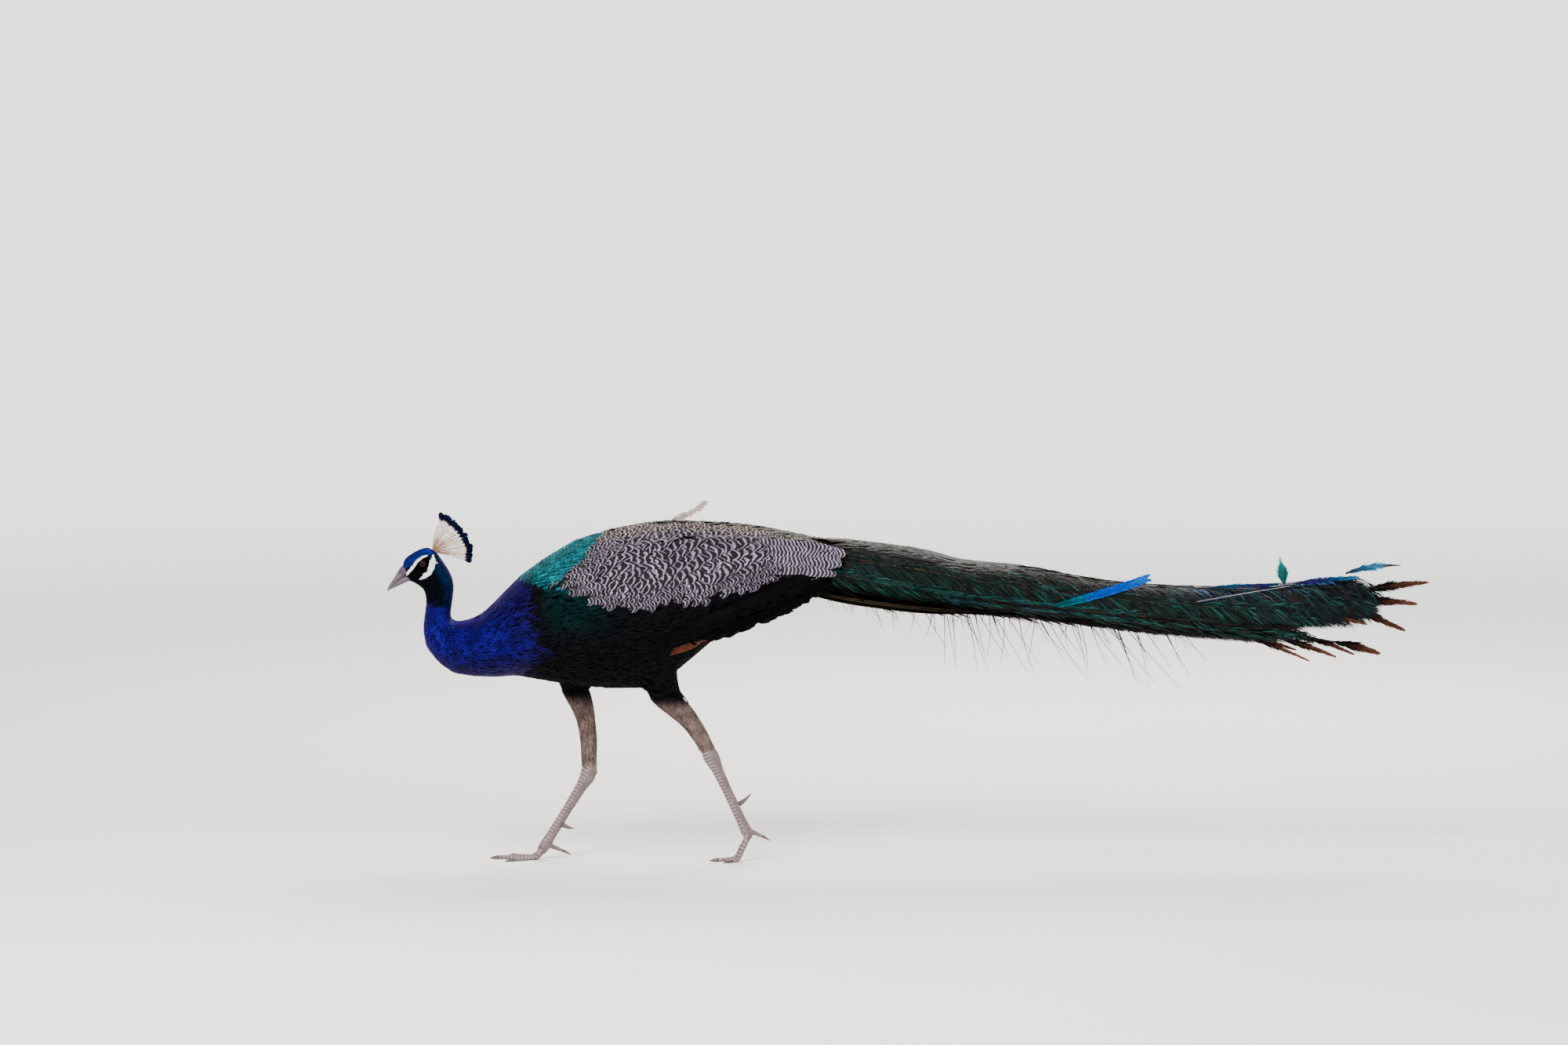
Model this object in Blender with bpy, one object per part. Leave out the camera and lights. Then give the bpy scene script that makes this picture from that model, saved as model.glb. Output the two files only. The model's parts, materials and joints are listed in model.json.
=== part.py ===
"""A life-size walking peacock (Indian peafowl, male) with its long train, parted into named solids.

Metres, +Z up. The bird walks towards -X, the floor is z = 0, and the origin is under the middle
of its bounding box. Its left side faces -Y. Everything is worked out from the tables of body and
train sections below and from a few lengths of the bill, legs, toes and feathers.
"""
import math

import bmesh
import bpy
import numpy as np
from mathutils import Matrix, Vector

# --- Driving dimensions ------------------------------------------------------------------------
GAP = 0.0004            # clearance between neighbouring pieces
SEGMENTS = 20           # points round a body section
TARSUS_LENGTH = 0.138   # hock to ball of the foot
TARSUS_RADIUS = 0.0077
EYE_RADIUS = 0.0075
WING_THICKNESS = 0.012

# Body sections from bill to rump. Each row: name, back (x, z), underside (x, z), half width.
BODY = [
    ("bill_root", (-0.7720, 0.4550), (-0.7630, 0.4300), 0.0085),
    ("forehead", (-0.7680, 0.4670), (-0.7550, 0.4285), 0.0125),
    ("crown", (-0.7420, 0.4825), (-0.7420, 0.4200), 0.0175),
    ("crest_root", (-0.7220, 0.4795), (-0.7380, 0.4140), 0.0185),
    ("nape", (-0.6985, 0.4465), (-0.7360, 0.3975), 0.0185),
    ("upper_neck", (-0.6918, 0.4225), (-0.7380, 0.3865), 0.0190),
    ("lower_neck", (-0.6965, 0.3805), (-0.7410, 0.3590), 0.0230),
    ("neck_bend", (-0.6930, 0.3725), (-0.7390, 0.3420), 0.0275),
    ("crop", (-0.6805, 0.3720), (-0.7320, 0.3230), 0.0350),
    ("breast_front", (-0.6505, 0.3840), (-0.6950, 0.2885), 0.0550),
    ("breast", (-0.6085, 0.4260), (-0.6280, 0.2815), 0.0800),
    ("shoulder", (-0.5810, 0.4500), (-0.5905, 0.2830), 0.0910),
    ("mantle", (-0.5015, 0.5005), (-0.5030, 0.2675), 0.1050),
    ("back", (-0.3910, 0.5255), (-0.3960, 0.2650), 0.1080),
    ("loin", (-0.3310, 0.5275), (-0.3455, 0.2940), 0.1020),
    ("croup", (-0.2710, 0.5245), (-0.2975, 0.3350), 0.0920),
    ("vent", (-0.2160, 0.5185), (-0.2450, 0.3680), 0.0800),
    ("rump", (-0.1250, 0.4990), (-0.1390, 0.4200), 0.0600),
]
# The folded train goes on from the rump in the same way.
TRAIN = [
    ("rump", (-0.1250, 0.4990), (-0.1390, 0.4200), 0.0600),
    ("train_root", (-0.0880, 0.4950), (-0.0850, 0.4070), 0.0640),
    ("train_saddle", (-0.0200, 0.4870), (-0.0200, 0.3960), 0.0710),
    ("train_fore", (0.0400, 0.4770), (0.0450, 0.3920), 0.0750),
    ("train_shelf", (0.0840, 0.4630), (0.0900, 0.3875), 0.0740),
    ("train_middle", (0.1850, 0.4540), (0.1850, 0.3800), 0.0700),
    ("train_waist", (0.2800, 0.4360), (0.2800, 0.3680), 0.0650),
    ("train_aft", (0.3850, 0.4255), (0.3850, 0.3550), 0.0620),
    ("train_flare", (0.5000, 0.4240), (0.5000, 0.3450), 0.0610),
    ("train_end", (0.6150, 0.4330), (0.6200, 0.3360), 0.0560),
    ("train_ragged", (0.6950, 0.4440), (0.6850, 0.3290), 0.0380),
    ("train_last", (0.7400, 0.4260), (0.7350, 0.3500), 0.0120),
]
# Where the body is parted, in row numbers of BODY.
HEAD_END, NECK_JOIN, NECK_END, BREAST_END = 3.6, 5.6, 8.5, 10.9
# Where the train is parted, in row numbers of TRAIN.
TRAIN_CUTS = (0.0, 3.4, 6.2, 8.6, 11.0)

COLOURS = {
    "blue_plumage": (0.02, 0.04, 0.45, 0.35, 0.5),
    "black_plumage": (0.02, 0.02, 0.03, 0.55, 0.0),
    "barred_plumage": (0.62, 0.57, 0.52, 0.7, 0.0),
    "green_train": (0.02, 0.13, 0.10, 0.45, 0.4),
    "brown_quills": (0.20, 0.11, 0.07, 0.7, 0.0),
    "crest_shafts": (0.55, 0.35, 0.25, 0.7, 0.0),
    "blue_vane": (0.02, 0.06, 0.30, 0.4, 0.4),
    "horn": (0.42, 0.36, 0.38, 0.4, 0.0),
    "leg_scales": (0.46, 0.40, 0.38, 0.6, 0.0),
    "leg_down": (0.34, 0.27, 0.22, 0.8, 0.0),
    "eye_brown": (0.03, 0.01, 0.01, 0.1, 0.0),
}


def clear_scene():
    for old in list(bpy.data.objects):
        bpy.data.objects.remove(old)
    made = bpy.data.collections.new("peacock")
    tools = bpy.data.collections.new("cutters")
    for collection in (made, tools):
        bpy.context.scene.collection.children.link(collection)
    return made, tools


PEACOCK, CUTTERS = clear_scene()


def material(slot):
    """A Principled material for each kind of surface, made once."""
    if slot in bpy.data.materials:
        return bpy.data.materials[slot]
    red, green, blue, roughness, metallic = COLOURS[slot]
    made = bpy.data.materials.new(slot)
    made.use_nodes = True
    shader = made.node_tree.nodes["Principled BSDF"]
    shader.inputs["Base Color"].default_value = (red, green, blue, 1.0)
    shader.inputs["Roughness"].default_value = roughness
    shader.inputs["Metallic"].default_value = metallic
    return made


def add_object(name, mesh, slot, cutter=False):
    """Puts a mesh in the scene as a part of the bird, or as a hidden cutter."""
    made = bpy.data.objects.new(name, mesh)
    mesh.materials.append(material(slot))
    (CUTTERS if cutter else PEACOCK).objects.link(made)
    if cutter:
        made.hide_render = True
        made.display_type = "WIRE"
    else:
        mesh.shade_smooth()
        mesh.set_sharp_from_angle(angle=math.radians(50))
    return made


def loft(name, rings, slot, cutter=False):
    """A closed solid through rings of points, with a flat cap at each end."""
    bm = bmesh.new()
    loops = [[bm.verts.new(point) for point in ring] for ring in rings]
    count = len(rings[0])
    for lower, upper in zip(loops, loops[1:]):
        for i in range(count):
            j = (i + 1) % count
            bm.faces.new((lower[i], lower[j], upper[j], upper[i]))
    bm.faces.new(loops[0][::-1])
    bm.faces.new(loops[-1])
    bmesh.ops.recalc_face_normals(bm, faces=bm.faces)
    mesh = bpy.data.meshes.new(name)
    bm.to_mesh(mesh)
    bm.free()
    return add_object(name, mesh, slot, cutter)


def cut(piece, cutter, operation="DIFFERENCE"):
    """Cuts one solid by another, or joins them, and keeps the modifier live."""
    modifier = piece.modifiers.new(operation.title() + "_" + cutter.name, "BOOLEAN")
    modifier.object = cutter
    modifier.operation = operation
    modifier.solver = "EXACT"


# --- Smooth sections ---------------------------------------------------------------------------
def smooth_row(table, t):
    """The Catmull-Rom value of a table of number rows at row number t."""
    last = len(table) - 1
    i = min(int(math.floor(t)), last - 1)
    f = t - i
    p0 = table[max(i - 1, 0)]
    p1, p2 = table[i], table[i + 1]
    p3 = table[min(i + 2, last)]
    return [
        0.5 * (2 * b + (c - a) * f + (2 * a - 5 * b + 4 * c - d) * f * f
               + (3 * b - a - 3 * c + d) * f ** 3)
        for a, b, c, d in zip(p0, p1, p2, p3)
    ]


def numbers(table):
    return [(*back, *under, half) for _, back, under, half in table]


BODY_ROWS, TRAIN_ROWS = numbers(BODY), numbers(TRAIN)


def section(rows, t, grow=0.0, squareness=0.92):
    """The ring of points of a body section at row t, made larger by grow all round."""
    back_x, back_z, under_x, under_z, half = smooth_row(rows, t)
    centre = Vector(((back_x + under_x) / 2, 0, (back_z + under_z) / 2))
    rise = Vector(((back_x - under_x) / 2, 0, (back_z - under_z) / 2))
    rise *= 1 + grow / rise.length
    ring = []
    for i in range(SEGMENTS):
        angle = 2 * math.pi * (i + 0.5) / SEGMENTS
        up = math.copysign(abs(math.cos(angle)) ** squareness, math.cos(angle))
        side = math.copysign(abs(math.sin(angle)) ** squareness, math.sin(angle))
        ring.append(centre + rise * up + Vector((0, (half + grow) * side, 0)))
    return ring


def sections(rows, start, end, step=0.5, grow=0.0):
    count = max(2, round((end - start) / step) + 1)
    return [section(rows, t, grow) for t in np.linspace(start, end, count)]


def half_width_at(x, z):
    """Half width of the body and train at a point seen from the side; 0 outside the outline."""
    best = 0.0
    for rows, first in ((BODY_ROWS, 9.0), (TRAIN_ROWS, 0.0)):
        for t in np.linspace(first, len(rows) - 1, 90):
            back_x, back_z, under_x, under_z, half = smooth_row(rows, t)
            rise_x, rise_z = (back_x - under_x) / 2, (back_z - under_z) / 2
            height = math.hypot(rise_x, rise_z)
            off_x, off_z = x - (back_x + under_x) / 2, z - (back_z + under_z) / 2
            along = (off_x * rise_x + off_z * rise_z) / height ** 2
            across = abs(off_x * rise_z - off_z * rise_x) / height
            if across < 0.006 and abs(along) < 1:
                side = (1 - abs(along) ** (2 / 0.92)) ** (0.92 / 2)
                best = max(best, half * side)
    return best


# --- Head --------------------------------------------------------------------------------------
EYE_CENTRE = (-0.7390, 0.0122, 0.4588)
SOCKET_GAP = 0.0003


def sphere(name, radius, centre, slot, cutter=False, segments=16):
    bm = bmesh.new()
    bmesh.ops.create_uvsphere(bm, u_segments=segments, v_segments=segments // 2, radius=radius)
    bmesh.ops.translate(bm, verts=bm.verts, vec=centre)
    mesh = bpy.data.meshes.new(name)
    bm.to_mesh(mesh)
    bm.free()
    return add_object(name, mesh, slot, cutter)


def make_head():
    head = loft("head", sections(BODY_ROWS, 0, HEAD_END, step=0.4), "blue_plumage")
    x, y, z = EYE_CENTRE
    for side, way in (("left", -1), ("right", 1)):
        sphere(f"eye_{side}", EYE_RADIUS, (x, way * y, z), "eye_brown")
        cut(head, sphere(f"socket_{side}", EYE_RADIUS + SOCKET_GAP, (x, way * y, z),
                         "eye_brown", cutter=True))


# Bill sections from root to tip: ridge (x, z), edge of the mouth (x, z), half width.
UPPER_BILL = [
    ((-0.7726, 0.4545), (-0.7664, 0.4388), 0.0080),
    ((-0.7782, 0.4470), (-0.7760, 0.4335), 0.0068),
    ((-0.7850, 0.4355), (-0.7850, 0.4260), 0.0050),
    ((-0.7915, 0.4262), (-0.7905, 0.4195), 0.0030),
    ((-0.7948, 0.4190), (-0.7935, 0.4165), 0.0012),
]
LOWER_BILL = [
    ((-0.7668, 0.4376), (-0.7648, 0.4302), 0.0064),
    ((-0.7755, 0.4327), (-0.7725, 0.4262), 0.0056),
    ((-0.7845, 0.4252), (-0.7830, 0.4215), 0.0038),
    ((-0.7895, 0.4200), (-0.7890, 0.4184), 0.0014),
]
BILL_SEGMENTS = 12


def bill_ring(row):
    ridge_x, ridge_z, edge_x, edge_z, half = row
    centre = Vector(((ridge_x + edge_x) / 2, 0, (ridge_z + edge_z) / 2))
    rise = Vector(((ridge_x - edge_x) / 2, 0, (ridge_z - edge_z) / 2))
    angles = [2 * math.pi * (i + 0.5) / BILL_SEGMENTS for i in range(BILL_SEGMENTS)]
    return [centre + rise * math.cos(a) + Vector((0, half * math.sin(a), 0)) for a in angles]


def make_bill():
    for name, table in (("bill_upper", UPPER_BILL), ("bill_lower", LOWER_BILL)):
        rows = [(*ridge, *edge, half) for ridge, edge, half in table]
        steps = np.linspace(0, len(rows) - 1, 2 * len(rows) - 1)
        loft(name, [bill_ring(smooth_row(rows, t)) for t in steps], "horn")


# The crest: a fan of bare shafts with a band of small vanes along their tips.
CREST_ROOT = Vector((-0.7232, 0, 0.4776))
CREST_FRONT, CREST_BACK = 75, -12      # degrees above the level, of the first and last shaft
CREST_NEAR, CREST_FAR = 0.0040, 0.0465
CREST_HALF = 0.0007
TIP_DEPTH, TIP_HALF = 0.0105, 0.0032


def fan_reach(share):
    """Length of the crest's bare shafts, a little shorter in the middle of the fan."""
    return CREST_FAR * (1.0 - 0.03 * math.sin(math.pi * share))


def crest_sector(name, near, far, half, slot, steps=12):
    """A flat sector of the fan between two distances from its root."""
    rings = []
    for i in range(steps + 1):
        share = i / steps
        angle = math.radians(CREST_FRONT + (CREST_BACK - CREST_FRONT) * share)
        way = Vector((math.cos(angle), 0, math.sin(angle)))
        inner, outer = CREST_ROOT + way * near(share), CREST_ROOT + way * far(share)
        thick = Vector((0, half, 0))
        rings.append([inner - thick, outer - thick, outer + thick, inner + thick])
    return loft(name, rings, slot)


def make_crest():
    crest_sector("crest_fan", lambda s: CREST_NEAR, fan_reach, CREST_HALF, "crest_shafts")
    crest_sector("crest_tips", lambda s: fan_reach(s) + GAP,
                 lambda s: fan_reach(s) + TIP_DEPTH * (1 + 0.12 * math.cos(math.pi * 8 * s)),
                 TIP_HALF, "blue_vane", steps=24)


# --- Neck and trunk ----------------------------------------------------------------------------
PART_GAP = 0.02         # half the space between two parts, in section rows


def make_trunk():
    loft("neck_upper", sections(BODY_ROWS, HEAD_END + 2 * PART_GAP, NECK_JOIN, 0.33), "blue_plumage")
    loft("neck_lower", sections(BODY_ROWS, NECK_JOIN + 2 * PART_GAP, NECK_END, 0.33), "blue_plumage")
    loft("breast", sections(BODY_ROWS, NECK_END + 2 * PART_GAP, BREAST_END), "blue_plumage")
    loft("trunk", sections(BODY_ROWS, BREAST_END + PART_GAP, len(BODY) - 1), "black_plumage")
    rings = sections(BODY_ROWS, BREAST_END + PART_GAP, len(BODY) - 1, grow=0.0006)
    return loft("trunk_grown", rings, "black_plumage", cutter=True)


# --- Wings -------------------------------------------------------------------------------------
# Side outline of the folded wing from wrist to tip: upper edge z and lower edge z at each x.
WING_ROWS = [
    (-0.5440, 0.4300, 0.4190),
    (-0.5150, 0.4560, 0.3930),
    (-0.4500, 0.4900, 0.3640),
    (-0.3700, 0.5120, 0.3330),
    (-0.3010, 0.5140, 0.3420),
    (-0.2350, 0.5110, 0.3640),
    (-0.1750, 0.5055, 0.3900),
    (-0.1350, 0.4990, 0.4130),
    (-0.1120, 0.4900, 0.4370),
    (-0.0975, 0.4760, 0.4560),
]
WING_ALONG, WING_DOWN = 19, 8
WING_CLEAR = 0.0018
WING_LEAST_HALF = 0.030     # how near the middle the wing tip's inner face may come


def wing_point(u, v, outer):
    """A point of the wing's inner or outer face: u runs from wrist to tip, v from top to bottom."""
    x, top, bottom = smooth_row(WING_ROWS, u * (len(WING_ROWS) - 1))
    z = top + (bottom - top) * v
    inside = max(half_width_at(x, z), WING_LEAST_HALF) + WING_CLEAR
    edge = (4 * v * (1 - v)) ** 0.5
    ends = min(1.0, 5 * u + 0.1, 4 * (1 - u) + 0.15)
    thickness = 0.0022 + WING_THICKNESS * edge * ends
    return Vector((x, inside + (thickness if outer else 0), z))


def smoothed(grid):
    """Evens out the inner face of the wing, and never moves it towards the body."""
    values = np.array(grid)
    for _ in range(3):
        padded = np.pad(values, 1, mode="edge")
        mean = (padded[:-2, 1:-1] + padded[2:, 1:-1] + padded[1:-1, :-2] + padded[1:-1, 2:]) / 4
        values = np.maximum(values, mean)
    return values


def make_wings():
    us = np.linspace(0, 1, WING_ALONG)
    vs = np.linspace(0, 1, WING_DOWN)
    inner = [[wing_point(u, v, False) for v in vs] for u in us]
    outer = [[wing_point(u, v, True) for v in vs] for u in us]
    depth = smoothed([[point.y for point in row] for row in inner])
    for side, way in (("left", -1), ("right", 1)):
        rings = []
        for i in range(WING_ALONG):
            near, far = [], []
            for j in range(WING_DOWN):
                thickness = outer[i][j].y - inner[i][j].y
                x, z = inner[i][j].x, inner[i][j].z
                near.append(Vector((x, way * depth[i][j], z)))
                far.append(Vector((x, way * (depth[i][j] + thickness), z)))
            rings.append(near + far[::-1])
        loft(f"wing_{side}", rings, "barred_plumage")


# --- Legs --------------------------------------------------------------------------------------
# Each leg: (x, y, z) and radius down the feathered shank, from inside the flank to the hock.
SHANKS = {
    "left": [
        ((-0.3860, -0.052, 0.3120), 0.038),
        ((-0.3740, -0.050, 0.2750), 0.031),
        ((-0.3560, -0.046, 0.2490), 0.0215),
        ((-0.3330, -0.041, 0.2230), 0.0160),
        ((-0.3160, -0.036, 0.1980), 0.0140),
        ((-0.3045, -0.032, 0.1760), 0.0125),
    ],
    "right": [
        ((-0.5150, 0.052, 0.3060), 0.040),
        ((-0.5110, 0.050, 0.2750), 0.031),
        ((-0.5010, 0.047, 0.2440), 0.0205),
        ((-0.4925, 0.043, 0.2150), 0.0160),
        ((-0.4880, 0.038, 0.1800), 0.0142),
        ((-0.4875, 0.034, 0.1440), 0.0130),
    ],
}
HOCK_BELOW = 0.014      # how far the hock joint lies below the end of the feathered shank
# Side angle of the tarsus in degrees from straight down, and how far its foot lies from the middle.
TARSI = {"left": (24.5, -0.008), "right": (-32.0, 0.016)}
LEG_SEGMENTS = 12


def tube_rings(points, radii, segments=LEG_SEGMENTS, flat=1.0):
    """Rings square to a path of points; flat is the ratio of side to fore-and-aft radius."""
    rings = []
    for i, (point, radius) in enumerate(zip(points, radii)):
        ahead = points[min(i + 1, len(points) - 1)] - points[max(i - 1, 0)]
        ahead.normalize()
        side = Vector((0, 1, 0))
        side = (side - ahead * side.dot(ahead)).normalized()
        other = ahead.cross(side)
        angles = [2 * math.pi * (k + 0.5) / segments for k in range(segments)]
        rings.append([point + side * radius * flat * math.cos(a) + other * radius * math.sin(a)
                      for a in angles])
    return rings


def make_shank(side, trunk_grown):
    rows = [(*point, radius) for point, radius in SHANKS[side]]
    steps = [smooth_row(rows, t) for t in np.linspace(0, len(rows) - 1, 3 * len(rows) - 2)]
    points = [Vector(row[:3]) for row in steps]
    shank = loft(f"shank_{side}", tube_rings(points, [row[3] for row in steps], 16), "leg_down")
    cut(shank, trunk_grown)


def foot_centre(side):
    """The ball of the foot, at the tarsus length from the hock."""
    hock = hock_centre(side)
    angle, foot_y = TARSI[side]
    lean = math.radians(angle)
    sideways = foot_y - hock.y
    reach = math.sqrt(TARSUS_LENGTH ** 2 - sideways ** 2)
    return Vector((hock.x + reach * math.sin(lean), foot_y, hock.z - reach * math.cos(lean)))


def hock_centre(side):
    """The hock joint, just past the end of the feathered shank."""
    (before, _), (last, _) = SHANKS[side][-2:]
    way = (Vector(last) - Vector(before)).normalized()
    return Vector(last) + way * HOCK_BELOW


# Shares of the tarsus from hock to foot, with its radius there as a share of TARSUS_RADIUS.
TARSUS_SHAPE = [(-0.088, 1.33), (-0.03, 1.66), (0.05, 1.54), (0.16, 1.16), (0.45, 0.98),
                (0.80, 1.0), (0.93, 1.16), (1.0, 1.02), (1.03, 0.7)]


def make_tarsus(side):
    hock, foot = hock_centre(side), foot_centre(side)
    (before, _), (last, _) = SHANKS[side][-2:]
    above = (Vector(last) - Vector(before)).normalized()
    points, radii = [], []
    for share, size in TARSUS_SHAPE:
        straight = hock + (foot - hock) * share
        if share < 0:
            straight = hock + above * (share * TARSUS_LENGTH)
        points.append(straight)
        radii.append(size * TARSUS_RADIUS)
    return loft(f"tarsus_{side}", tube_rings(points, radii, flat=0.82), "leg_scales")


SPUR_LENGTH, SPUR_RADIUS = 0.019, 0.0036


def make_spur(side):
    """The cock's spur, on the inner rear face of the tarsus a third of the way up."""
    hock, foot = hock_centre(side), foot_centre(side)
    root = foot + (hock - foot) * 0.36
    inward = 1 if side == "left" else -1
    out = Vector((0.80, 0.42 * inward, 0.0))
    out = (out - (hock - foot).normalized() * out.dot((hock - foot).normalized())).normalized()
    start = root + out * (TARSUS_RADIUS + GAP)
    points, radii = [], []
    for share in (0, 0.35, 0.7, 1.0):
        points.append(start + out * (SPUR_LENGTH * share) + Vector((0, 0, 0.004 * share ** 2)))
        radii.append(SPUR_RADIUS * (1 - 0.88 * share))
    loft(f"spur_{side}", tube_rings(points, radii, 8), "horn")


# Toes: name, turn in degrees from straight ahead (outwards positive), length, root radius.
TOES = [("middle", 4, 0.064, 0.0056), ("outer", 36, 0.051, 0.0049), ("inner", -30, 0.047, 0.0050)]
HIND_TOE = ("hind", 172, 0.017, 0.0042)
CLAW_LENGTH = 0.0125
CLAW_LIFT = 0.0008      # claws start a little above the middle line of their toes
CLAW_SLOPE = -0.45      # the steepest that a claw points down
PAD_REST = 0.50         # height of a resting toe's middle line as a share of its root radius
HEEL_RISE = {"left": True, "right": False}


def toe_path(side, turn, length, radius, count=10):
    """Points down a toe. On the lifted foot it drops steeply from the ball, then lies flat."""
    outward = -1 if side == "left" else 1
    heading = math.radians(turn)
    way = Vector((-math.cos(heading), outward * math.sin(heading), 0))
    ball = foot_centre(side)
    rest = radius * PAD_REST
    points = []
    for i in range(count):
        share = i / (count - 1)
        if HEEL_RISE[side] and abs(turn) < 90:
            drop_length = 0.86 * (ball.z - rest) / math.sin(math.radians(62))
            steep = min(share * length, drop_length)
            flat = max(share * length - drop_length, 0.0)
            down = ball.z - steep * math.sin(math.radians(62))
            down = rest + max(down - rest, 0) * math.exp(-flat / 0.004)
            point = ball + way * (steep * math.cos(math.radians(62)) + flat * 0.96)
            point.z = down
        else:
            drop = ball.z - rest
            point = ball + way * (share * length)
            point.z = rest + drop * max(0.0, 1 - share / 0.30) ** 2
        points.append(point)
    return points


def toe_radii(radius, count=10):
    """Pads along a toe: it swells at each joint and tapers to the claw."""
    return [radius * (1 - 0.38 * i / (count - 1)) * (1 + 0.09 * math.cos(2 * math.pi * i * 0.32))
            for i in range(count)]


def pressed(rings, floor=0.0):
    """The same rings with everything below the floor pressed flat onto it."""
    return [[Vector((p.x, p.y, max(p.z, floor))) for p in ring] for ring in rings]


def make_foot(side):
    """Three front toes joined at the ball into one solid, with the short hind toe apart."""
    pieces = []
    for name, turn, length, radius in TOES:
        points = toe_path(side, turn, length, radius)
        rings = tube_rings(points, toe_radii(radius), 10)
        base = name == "middle"
        label = f"foot_{side}" if base else f"toe_{name}_{side}"
        pieces.append(loft(label, pressed(rings), "leg_scales", cutter=not base))
        make_claw(f"claw_{name}_{side}", points, toe_radii(radius)[-1])
    foot = pieces[0]
    for toe in pieces[1:]:
        cut(foot, toe, "UNION")
    return foot


def make_hind_toe(side):
    name, turn, length, radius = HIND_TOE
    outward = -1 if side == "left" else 1
    ball, hock = foot_centre(side), hock_centre(side)
    root = ball + (hock - ball).normalized() * 0.012
    heading = math.radians(turn)
    way = Vector((-math.cos(heading), outward * math.sin(heading), -0.42)).normalized()
    start = root + way * (TARSUS_RADIUS * 1.25)
    points = [start + way * (length * i / 4) for i in range(5)]
    radii = [radius * (1 - 0.35 * i / 4) for i in range(5)]
    toe = loft(f"toe_hind_{side}", tube_rings(points, radii, 8), "leg_scales")
    make_claw(f"claw_hind_{side}", points, radii[-1])
    return toe


def make_claw(name, toe_points, radius):
    """A short curved claw, starting just past the end of its toe."""
    way = (toe_points[-1] - toe_points[-2]).normalized()
    way.z = max(way.z, CLAW_SLOPE)
    start = toe_points[-1] + way * GAP
    points, radii = [], []
    for share in (0, 0.3, 0.6, 0.85, 1.0):
        drop = Vector((0, 0, 0.0012 * share ** 2 - CLAW_LIFT))
        points.append(start + way * (CLAW_LENGTH * share) - drop)
        radii.append(radius * 0.86 * (1 - 0.86 * share ** 1.3))
    loft(name, pressed(tube_rings(points, radii, 8)), "horn")


def make_legs(trunk_grown):
    for side in ("left", "right"):
        make_shank(side, trunk_grown)
        tarsus = make_tarsus(side)
        make_spur(side)
        foot = make_foot(side)
        hind = make_hind_toe(side)
        grown_tarsus = grown_copy(tarsus, "ankle_" + side)
        cut(foot, grown_tarsus)
        cut(hind, grown_tarsus)


def grown_copy(piece, name, grow=0.0005):
    """A slightly larger copy of a simple solid, as a cutter that leaves a thin gap."""
    mesh = piece.data.copy()
    bm = bmesh.new()
    bm.from_mesh(mesh)
    bm.normal_update()
    for vertex in bm.verts:
        vertex.co += vertex.normal * grow
    bm.to_mesh(mesh)
    bm.free()
    return add_object(name, mesh, "leg_scales", cutter=True)


# --- Train and tail ----------------------------------------------------------------------------
# The stiff tail feathers under the train: centre x, centre z, half width.
TAIL_ROWS = [
    (-0.1330, 0.4120, 0.034),
    (-0.0800, 0.4000, 0.050),
    (0.0000, 0.3895, 0.056),
    (0.1100, 0.3805, 0.060),
    (0.2200, 0.3700, 0.062),
]
TAIL_HALF_THICK = 0.0036


def make_train():
    names = ("train_root", "train_middle", "train_rear", "train_end")
    for name, start, end in zip(names, TRAIN_CUTS, TRAIN_CUTS[1:]):
        rings = sections(TRAIN_ROWS, start + PART_GAP, end - PART_GAP)
        loft(name, rings, "green_train")


def make_tail():
    rings = []
    for t in np.linspace(0, len(TAIL_ROWS) - 1, 11):
        x, z, half = smooth_row(TAIL_ROWS, t)
        ring = []
        for i in range(16):
            angle = 2 * math.pi * (i + 0.5) / 16
            side = half * math.cos(angle)
            ring.append(Vector((x, side, z + TAIL_HALF_THICK * math.sin(angle) - 0.9 * side ** 2)))
        rings.append(ring)
    tail = loft("tail", rings, "brown_quills")
    cut(tail, loft("train_grown", sections(TRAIN_ROWS, 0, TRAIN_CUTS[-1], grow=0.0006),
                   "green_train", cutter=True))
    cut(tail, bpy.data.objects["trunk_grown"])


# Long feathers past the end of the train: name, start (x, y, z), tip (x, y, z), half depth.
END_FEATHERS = [
    ("plume_top", (0.702, -0.006, 0.4470), (0.7560, -0.012, 0.4560), 0.0045),
    ("plume_fork_high", (0.7403, -0.004, 0.4180), (0.7968, -0.012, 0.4300), 0.0060),
    ("plume_middle", (0.7388, 0.003, 0.3950), (0.7830, 0.010, 0.3950), 0.0060),
    ("plume_fork_low", (0.7368, -0.003, 0.3640), (0.7640, -0.008, 0.3580), 0.0060),
    ("plume_under", (0.690, 0.004, 0.3256), (0.7260, 0.010, 0.3190), 0.0045),
]
BLADE_SHAPE = [(0.0, 0.55), (0.25, 0.8), (0.6, 1.0), (0.85, 0.8), (1.0, 0.15)]
BLADE_THICK = 0.0011


def blade(name, start, tip, half, slot, droop=0.0):
    """A thin feather blade standing on edge between two points, with a slight sag."""
    start, tip = Vector(start), Vector(tip)
    rings = []
    for share, size in BLADE_SHAPE:
        centre = start.lerp(tip, share) - Vector((0, 0, droop * math.sin(math.pi * share)))
        tall = Vector((0, 0, half * size))
        thick = Vector((0, BLADE_THICK, 0))
        rings.append([centre - tall - thick, centre + tall - thick,
                      centre + tall + thick, centre - tall + thick])
    return loft(name, rings, slot)


# The blue eye feather that lies askew on the near side of the train: (x, z) of its ends.
BLUE_START, BLUE_TIP = (0.2260, 0.3990), (0.3665, 0.4385)
BLUE_HALF = 0.0085


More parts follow.
